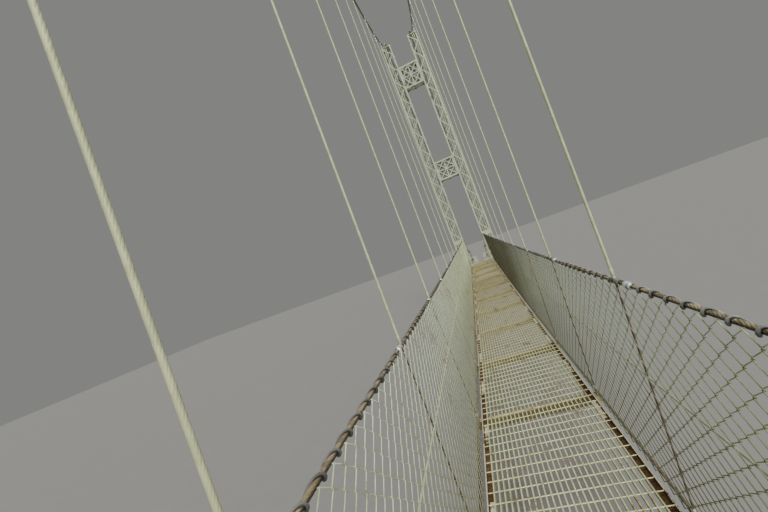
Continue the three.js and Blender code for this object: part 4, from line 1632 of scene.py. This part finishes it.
# %% Side faces of a beam
BEAM_NODE_IN = 0.030
POST = 0.040
POST_THICKNESS = 0.005
CROSSING_DROP = 1.4
CROSSING_PLATE = 0.055
EDGE_PLATE_WIDTH = 0.030
EDGE_PLATE_HEIGHT = 0.045
PLATE_BOLT_SHARE = 0.6


def beam_nodes(low, high, face):
    """The nine places of a face where braces and posts meet, by column and row."""
    xs = [low.x + BEAM_NODE_IN, 0.0, high.x - BEAM_NODE_IN]
    zs = [low.z + BEAM_NODE_IN, (low.z + high.z) / 2, high.z - BEAM_NODE_IN]
    return {(i, j): face + ACROSS * xs[i] + UPWARD * zs[j] for i in range(3) for j in range(3)}


def add_beam_bars(steel, at, facing):
    layer = -facing * BEHIND_GUSSET
    for i in range(3):
        angle_bar(steel, at[i, 0] + layer, at[i, 2] + layer, facing, POST, POST_THICKNESS)
    angle_bar(steel, at[0, 1] + layer, at[2, 1] + layer, facing)
    deeper = layer * CROSSING_DROP
    for i in range(2):
        for j in range(2):
            angle_bar(steel, at[i, j] + layer, at[i + 1, j + 1] + layer, facing)
            angle_bar(steel, at[i, j + 1] + deeper, at[i + 1, j] + deeper, facing)


def add_beam_plates(steel, bolts, at, facing):
    behind_chord = facing * CHORD_THICKNESS
    for (i, j), spot in at.items():
        width = CROSSING_PLATE if i == 1 else EDGE_PLATE_WIDTH
        height = CROSSING_PLATE if j == 1 else EDGE_PLATE_HEIGHT
        reach = np.array([width, 0, height])
        turns = ((-1, 0, -1), (1, 0, -1), (1, 0, 1), (-1, 0, 1))
        gusset(steel, [spot + reach * turn - behind_chord for turn in turns], facing)
        for k in (0, 2, 3, 1):
            place = spot + reach * turns[k] * PLATE_BOLT_SHARE
            small_bolt(bolts, place - behind_chord if j == 1 else place, facing)


def add_beam_side(steel, bolts, low, high, middle_y, sy):
    facing = sy * ALONG
    for z, up in ((low.z, UPWARD), (high.z, -UPWARD)):
        corner = (low.x, middle_y + sy * LEG_HALF, z)
        corner_angle(steel, corner, -facing, up, ACROSS * (high.x - low.x))
    at = beam_nodes(low, high, ALONG * (middle_y + sy * LEG_HALF))
    add_beam_bars(steel, at, facing)
    add_beam_plates(steel, bolts, at, facing)


print("the plate at a crossing is", round(2000 * CROSSING_PLATE), "mm wide")

# %% [markdown]
# The top and the bottom of a beam have one crossed pair of braces on each side of its middle, and
# three angles straight across. They are lighter, because they only keep the box square.

# %% Top and bottom of a beam, and the whole beams
LID_EDGE = 0.030
LID_STRUT_IN = 0.015


def add_beam_lid(steel, low, high, middle_y, level, facing):
    spread = LEG_HALF - LID_EDGE
    near, far = (
        np.array([0, middle_y + turn * spread, level]) - facing * CHORD_THICKNESS for turn in (-1, 1)
    )
    for x in (low.x + BEAM_NODE_IN, high.x - BEAM_NODE_IN):
        angle_bar(steel, near + ACROSS * x, far, facing)
        angle_bar(steel, near, far + ACROSS * x, facing)
    for x in (low.x + LID_STRUT_IN, 0.0, high.x - LID_STRUT_IN):
        angle_bar(steel, near + ACROSS * x, far + ACROSS * x, facing)


def make_beam(name, which):
    steel, bolts = Shapes(), Shapes()
    low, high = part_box(f"{name}_{which}_beam")
    middle_y = (low.y + high.y) / 2
    for sy in (-1, 1):
        add_beam_side(steel, bolts, low, high, middle_y, sy)
    for level, facing in ((low.z, -UPWARD), (high.z, UPWARD)):
        add_beam_lid(steel, low, high, middle_y, level, facing)
    steel = steel.piece(f"{name}_{which}_truss", TOWER_PAINT, "tower_steel")
    bolts = bolts.piece(f"{name}_{which}_truss_bolts", BOLT_ZINC, "tower_steel")
    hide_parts(f"{name}_{which}_beam")
    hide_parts(f"{name}_{which}_beam")


for name, _ in ENDS:
    for which in ("top", "middle"):
        make_beam(name, which)
beam_pieces = ["north_top_truss", "north_top_truss_bolts"]
print("triangles in one beam", sum(triangle_counts[piece] for piece in beam_pieces))

# %% [markdown]
# The deck's last cross beam rests on a rolled joist bolted across both legs. An I-shaped outline
# pushed straight makes the joist, and plates between its flanges stiffen it.

# %% Bearers
JOIST_WEB = 0.007
JOIST_FLANGE = 0.011
STIFFENER_COUNT = 7
STIFFENER_IN = 0.03
STIFFENER_HALF = np.array([0.004, -0.002, -JOIST_FLANGE])
JOIST_BOLT = (0.025, 0.035)


def i_outline(width, depth, web, flange):
    w, d, t, f = width / 2, depth, web / 2, flange
    outline = [
        (-w, 0), (w, 0), (w, f), (t, f), (t, d - f), (w, d - f),
        (w, d), (-w, d), (-w, d - f), (-t, d - f), (-t, f), (-w, f),
    ]
    return outline, [(0, 1, 2, 11), (11, 2, 3, 10), (10, 3, 4, 9), (9, 4, 5, 8), (8, 5, 6, 7)]


def add_joist_bolts(shapes, low, high, end):
    edge, rise = JOIST_BOLT
    face = (low.y + high.y) / 2 - end * JOIST_WEB / 2
    for side in (-1, 1):
        for x in (LEG_X - LEG_HALF + edge, LEG_X + LEG_HALF - edge):
            for z in (low.z + rise, high.z - rise):
                bolt(shapes, (side * x, face, z), -end * ALONG, 0.012, 0.012)


def make_bearer(name, end):
    steel, bolts = Shapes(), Shapes()
    low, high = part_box(f"{name}_bearer")
    outline, caps = i_outline(high.y - low.y, high.z - low.z, JOIST_WEB, JOIST_FLANGE)
    start = (low.x, (low.y + high.y) / 2, low.z)
    prism(steel, start, ALONG, UPWARD, outline, caps, ACROSS * (high.x - low.x))
    for x in np.linspace(low.x + STIFFENER_IN, high.x - STIFFENER_IN, STIFFENER_COUNT):
        block(steel, (x, low.y, low.z) - STIFFENER_HALF, (x, high.y, high.z) + STIFFENER_HALF)
    add_joist_bolts(bolts, low, high, end)
    steel = steel.piece(f"{name}_bearer_joist", TOWER_PAINT, "tower_steel")
    bolts = bolts.piece(f"{name}_bearer_bolts", BOLT_ZINC, "tower_steel")
    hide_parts(f"{name}_bearer")
    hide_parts(f"{name}_bearer")


for name, end in ENDS:
    make_bearer(name, end)
print("triangles in one joist", triangle_counts["north_bearer_joist"])

# %% [markdown]
# Between the legs a threshold grating lies on a channel sill, so the walkway runs on to the land.
# Its bars are thinner than the deck's, and its rods are round. It doesn't bend, so blocks, a
# channel and straight rods between the sides of its packed box make it.

# %% Thresholds
RIM = 0.008
SILL_WIDTH = 0.1
STEP_BAR_PITCH = 0.034
STEP_BAR_HALF = 0.0025
STEP_BAR_SINK = 0.004
STEP_ROD_PITCH = 0.1
STEP_ROD_RADIUS = 0.005
CLEAR_OF_RIM = 0.02


def add_threshold_frame(shapes, low, high, base):
    for x in (low.x, high.x - RIM):
        block(shapes, (x, low.y, base), (x + RIM, high.y, high.z))
    for y in (low.y, high.y - RIM):
        block(shapes, (low.x + RIM, y, base), (high.x - RIM, y + RIM, high.z))
    sill = (low.x, (low.y + high.y) / 2 - SILL_WIDTH / 2, low.z)
    channel(shapes, sill, high.x - low.x, SILL_WIDTH, base - low.z - SEAM)


def make_threshold(name):
    edges, bars, rods = Shapes(), Shapes(), Shapes()
    low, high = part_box(f"{name}_threshold")
    base = high.z - GRATING_DEPTH
    add_threshold_frame(edges, low, high, base)
    for x in np.arange(low.x + STEP_BAR_PITCH, high.x - CLEAR_OF_RIM, STEP_BAR_PITCH):
        bar_low = (x - STEP_BAR_HALF, low.y + RIM, base)
        block(bars, bar_low, (x + STEP_BAR_HALF, high.y - RIM, high.z - STEP_BAR_SINK))
    level = high.z - STEP_ROD_RADIUS
    for y in np.arange(low.y + STEP_ROD_PITCH / 2, high.y - CLEAR_OF_RIM, STEP_ROD_PITCH):
        rope(rods, [(low.x + RIM, y, level), (high.x - RIM, y, level)], STEP_ROD_RADIUS)
    edges = edges.piece(f"{name}_threshold_frame", CREAM_STEEL, "deck_steel")
    bars = bars.piece(f"{name}_threshold_bars", BAR_STEEL, "deck_steel")
    rods = rods.piece(f"{name}_threshold_rods", ROD_STEEL, "deck_steel", smooth=True)
    for piece in (edges, bars, rods):
        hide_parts(f"{name}_threshold")


for name, _ in ENDS:
    make_threshold(name)
print("triangles in one threshold's frame", triangle_counts["north_threshold_frame"])

# %% [markdown]
# On each leg a cast saddle carries the cable over. Its bed is a sweep of a grooved outline along
# the cable's arc, and straps over the bed keep the cable in the groove.

# %% Bed and straps of a saddle
GROOVE = 0.0208
BED_HALF = 0.040
BED_BOTTOM = -0.036
BED_SHOULDER = -0.010
LIP_INNER = 0.027
LIP_TOP = 0.014
BED_CAPS = [(1, 2, 3, 4), (1, 4, 5, 6), (0, 1, 6, 7), (0, 7, 8, 9), (0, 9, 10, 11)]
STRAP_ANGLES = (-0.50, 0.86)
STRAP_SPREAD = 0.07
STRAP_UNDER = [(0.048, 0.014), (0.026, 0.014), (0.018, 0.023)]
STRAP_OVER = [(0.048, 0.020), (0.029, 0.020), (0.020, 0.030)]
STRAP_CAPS = [(0, 1, 10, 11), (1, 2, 9, 10), (2, 3, 8, 9), (3, 4, 7, 8), (4, 5, 6, 7)]
STRAP_BOLT_X = 0.0385
STRAP_BOLT_RISE = 0.020


def arc_point(end, x, radius, angle):
    """A point of the saddle's arc, with the angle counted outwards from the top."""
    y = TOWER_Y + radius * math.sin(angle)
    return np.array([x, end * y, BEND_CENTRE + radius * math.cos(angle)])


def bed_outline():
    """The bed's cross section, with a half-round groove in its top."""
    groove = [(GROOVE * math.cos(a), GROOVE * math.sin(a)) for a in np.radians([-45, -90, -135, -180])]
    right = [(BED_HALF, BED_BOTTOM), (BED_HALF, LIP_TOP), (LIP_INNER, LIP_TOP), (GROOVE, 0.0)]
    left = [(-LIP_INNER, LIP_TOP), (-BED_HALF, LIP_TOP), (-BED_HALF, BED_SHOULDER)]
    return [(-BED_HALF, BED_BOTTOM), *right, *groove, *left]


def strap_outline():
    """A roof over the cable with a flat foot at each side."""
    left_under = [(-x, z) for x, z in STRAP_UNDER]
    left_over = [(-x, z) for x, z in STRAP_OVER]
    return [*left_under, *reversed(STRAP_UNDER), *STRAP_OVER, *reversed(left_over)]


def add_straps(casting, bolts, end, x):
    for angle in STRAP_ANGLES:
        path = [arc_point(end, x, SADDLE_BEND, angle + turn * STRAP_SPREAD) for turn in (-1, 1)]
        sweep(casting, path, strap_outline(), STRAP_CAPS)
        outward = arc_point(end, 0, 1.0, angle) - arc_point(end, 0, 0.0, angle)
        for offset in (-STRAP_BOLT_X, STRAP_BOLT_X):
            spot = arc_point(end, x + offset, SADDLE_BEND + STRAP_BOLT_RISE, angle)
            bolt(bolts, spot, outward, 0.007, 0.008)


print("points in the outlines of bed and strap:", len(bed_outline()), len(strap_outline()))

# %% [markdown]
# Two webs carry the bed on a base plate, with ribs across them. A web's top follows the arc and
# its foot is straight, so its faces are built strip by strip.

# %% Webs and ribs, and the whole saddles
BASE_THICKNESS = 0.016
BASE_LAP = 0.001
UNDER_BED = SADDLE_BEND - 0.034
WEB_INNER = 0.020
WEB_THICKNESS = 0.012
WEB_ANGLES = np.linspace(-0.55, 0.85, 11)
RIB_ANGLES = (-0.42, 0.0, 0.42, 0.78)
SADDLE_RIB_FOOT = 0.068
SADDLE_RIB_HEAD = (0.038, 0.006)
SADDLE_RIB_THICKNESS = 0.010
BASE_BOLT_IN = (0.018, 0.022)


def add_web(shapes, end, x, foot):
    arc = [arc_point(end, x, UNDER_BED, angle) for angle in WEB_ANGLES]
    face = [point for top in arc for point in (top, np.array([top[0], top[1], foot]))]
    half = len(face)
    quads = []
    for a in range(0, half - 2, 2):
        b, c, d = a + 1, a + 3, a + 2
        quads += [(a, b, c, d), (d + half, c + half, b + half, a + half)]
        quads += [(a, d, d + half, a + half), (c, b, b + half, c + half)]
    quads += [(1, 0, half, half + 1), (half - 2, half - 1, 2 * half - 1, 2 * half - 2)]
    shapes.add(face + [point + ACROSS * WEB_THICKNESS for point in face], quads)


def add_rib(shapes, end, x, foot, angle):
    top = arc_point(end, x, UNDER_BED, angle)
    half_head, rise = SADDLE_RIB_HEAD
    drop = foot - top[2]
    rib = [(-SADDLE_RIB_FOOT, drop), (SADDLE_RIB_FOOT, drop), (half_head, rise), (-half_head, rise)]
    start = top - ALONG * SADDLE_RIB_THICKNESS / 2
    prism(shapes, start, ACROSS, UPWARD, rib, FOUR_SIDED, ALONG * SADDLE_RIB_THICKNESS)


def add_base_bolts(shapes, low, high, base_top):
    in_x, in_y = BASE_BOLT_IN
    for x in (low.x + in_x, high.x - in_x):
        for y in (low.y + in_y, high.y - in_y):
            bolt(shapes, (x, y, base_top), UPWARD, 0.011, 0.013)


def make_saddle(name, side_name, end, side):
    casting, bolts = Shapes(), Shapes()
    low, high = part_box(f"{name}_{side_name}_saddle")
    x = side * CABLE_X
    angles = np.linspace(-CABLE_ANGLE, BACKSTAY_ANGLE, 15)
    sweep(casting, [arc_point(end, x, SADDLE_BEND, a) for a in angles], bed_outline(), BED_CAPS)
    base_top = low.z + BASE_THICKNESS
    block(casting, low, (high.x, high.y, base_top))
    for offset in (-WEB_INNER - WEB_THICKNESS, WEB_INNER):
        add_web(casting, end, x + offset, base_top - BASE_LAP)
    for angle in RIB_ANGLES:
        add_rib(casting, end, x, base_top - BASE_LAP, angle)
    add_straps(casting, bolts, end, x)
    add_base_bolts(bolts, low, high, base_top)
    casting = casting.piece(f"{name}_{side_name}_saddle_casting", CAST_IRON, "saddle_iron")
    bolts = bolts.piece(f"{name}_{side_name}_saddle_bolts", BOLT_ZINC, "saddle_iron")
    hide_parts(f"{name}_{side_name}_saddle")
    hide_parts(f"{name}_{side_name}_saddle")


for name, end in ENDS:
    for side_name, side in SIDES:
        make_saddle(name, side_name, end, side)
print("triangles in one saddle", triangle_counts["north_left_saddle_casting"])

# %% [markdown]
# The concrete keeps the shape of the packed blocks. A copy of each gets its flat faces joined and
# its arrises rounded, because a cast edge is never sharp.

# %% Footings and anchor blocks
ARRIS = 0.018
SAME_PLACE = 0.0001
SAME_PLANE = 0.02


def round_concrete(node, name):
    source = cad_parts[node]
    mesh = source.data.copy()
    mesh.name = name
    mesh.materials.clear()
    mesh.transform(source.matrix_world)
    work = bmesh.new()
    work.from_mesh(mesh)
    bmesh.ops.remove_doubles(work, verts=work.verts, dist=SAME_PLACE)
    bmesh.ops.dissolve_limit(work, angle_limit=SAME_PLANE, verts=work.verts, edges=work.edges)
    edges = work.edges[:]
    bmesh.ops.bevel(work, geom=edges, offset=ARRIS, segments=3, profile=0.5, affect="EDGES")
    work.to_mesh(mesh)
    work.free()
    piece = place_mesh(name, mesh, CONCRETE)
    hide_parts(node)


for name, _ in ENDS:
    round_concrete(f"{name}_footing", f"{name}_footing_cast")
    for side_name, _ in SIDES:
        round_concrete(f"{name}_{side_name}_anchor_block", f"{name}_{side_name}_anchor_cast")
print("total triangles", sum(triangle_counts.values()))

# %% [markdown]
# The stage is a plain grey floor under soft light. The bridge is too long for a lamp to light it
# evenly, so two distant sources with wide discs do it, as a hazy sky does: a high one for shape, and
# a low one from the front right for the tower and the inside of the left mesh. An even sky fills
# the shadows.

# %% Floor and lights
FLOOR_REACH = 60.0
FLOOR_DULL = (0.17, 0.17, 0.166, 1)
FLOOR_BRIGHT = (0.187, 0.187, 0.183, 1)


def link_object(name, data):
    made = bpy.data.objects.new(name, data)
    bpy.context.scene.collection.objects.link(made)
    return made


def make_floor():
    mesh = bpy.data.meshes.new("floor")
    corners = rectangle((-FLOOR_REACH, -FLOOR_REACH), (FLOOR_REACH, FLOOR_REACH))
    mesh.from_pydata([(x, y, 0) for x, y in corners], [], FOUR_SIDED)
    floor = link_object("floor", mesh)
    material, tree, shader = new_material("floor_paper", 0.0, 0.2)
    grain = noise(tree, object_place(tree), 3.0, 4.0)
    colour = blend_colours(tree, grain, FLOOR_DULL, FLOOR_BRIGHT)
    tree.links.new(colour, shader.inputs["Base Color"])
    shader.inputs["Roughness"].default_value = 0.9
    floor.data.materials.append(material)
    return floor


def make_soft_sun(name, place, width, strength, colour):
    """A distant disc, seen from the middle of the bridge in the direction of its place."""
    light = bpy.data.lights.new(name, "SUN")
    light.angle = math.radians(width)
    light.energy = strength
    light.color = colour
    lamp = link_object(name, light)
    lamp.location = place
    lamp.rotation_euler = (-Vector(place)).to_track_quat("-Z", "Y").to_euler()
    return lamp


def make_sky(colour, strength):
    world = bpy.data.worlds.new("soft_sky")
    world.use_nodes = True
    background = world.node_tree.nodes["Background"]
    background.inputs["Color"].default_value = colour
    background.inputs["Strength"].default_value = strength
    bpy.context.scene.world = world


make_floor()
make_soft_sun("high_light", place=(3, -4, 22), width=28, strength=3.5, colour=(1.0, 0.98, 0.93))
make_soft_sun("side_light", place=(9, -13, 8), width=40, strength=2.5, colour=(1.0, 1.0, 0.97))
make_sky(colour=(0.82, 0.84, 0.79, 1), strength=0.28)
print("lights:", [light.name for light in bpy.data.lights])

# %% [markdown]
# The camera stands on the deck, two fifths of the way from mid-span to the south tower, 1.6 m
# above the walkway, and looks a little to the left. The picture leans by twenty degrees. The
# numbers come from fitting the deck, the rails and the tower to the photograph.

# %% Camera
EYE = (0.011, -4.533, 2.465)
ROLL = math.radians(20.43)
PITCH = math.radians(-0.88)
YAW = math.radians(14.25)
FOCAL_PIXELS = 353.3
PICTURE_WIDTH = 768
SENSOR_WIDTH = 36.0
NEAREST = 0.02


def camera_turn(roll, pitch, yaw):
    """The camera's turn. Pitch counts down from level, and yaw to the left."""
    cos, sin = math.cos, math.sin
    forward = Vector((-sin(yaw) * cos(pitch), cos(yaw) * cos(pitch), -sin(pitch)))
    level = Vector((cos(yaw), sin(yaw), 0))
    down = forward.cross(level)
    right = cos(roll) * level + sin(roll) * down
    low = -sin(roll) * level + cos(roll) * down
    return Matrix((right, -low, -forward)).transposed().to_4x4()


camera = link_object("camera", bpy.data.cameras.new("camera"))
camera.matrix_world = Matrix.Translation(EYE) @ camera_turn(ROLL, PITCH, YAW)
camera.data.sensor_width = SENSOR_WIDTH
camera.data.lens = SENSOR_WIDTH * FOCAL_PIXELS / PICTURE_WIDTH
camera.data.clip_start = NEAREST
bpy.context.scene.camera = camera
print("lens", round(camera.data.lens, 1), "mm, camera", round(EYE[2], 2), "m above the floor")

# %% [markdown]
# compared.
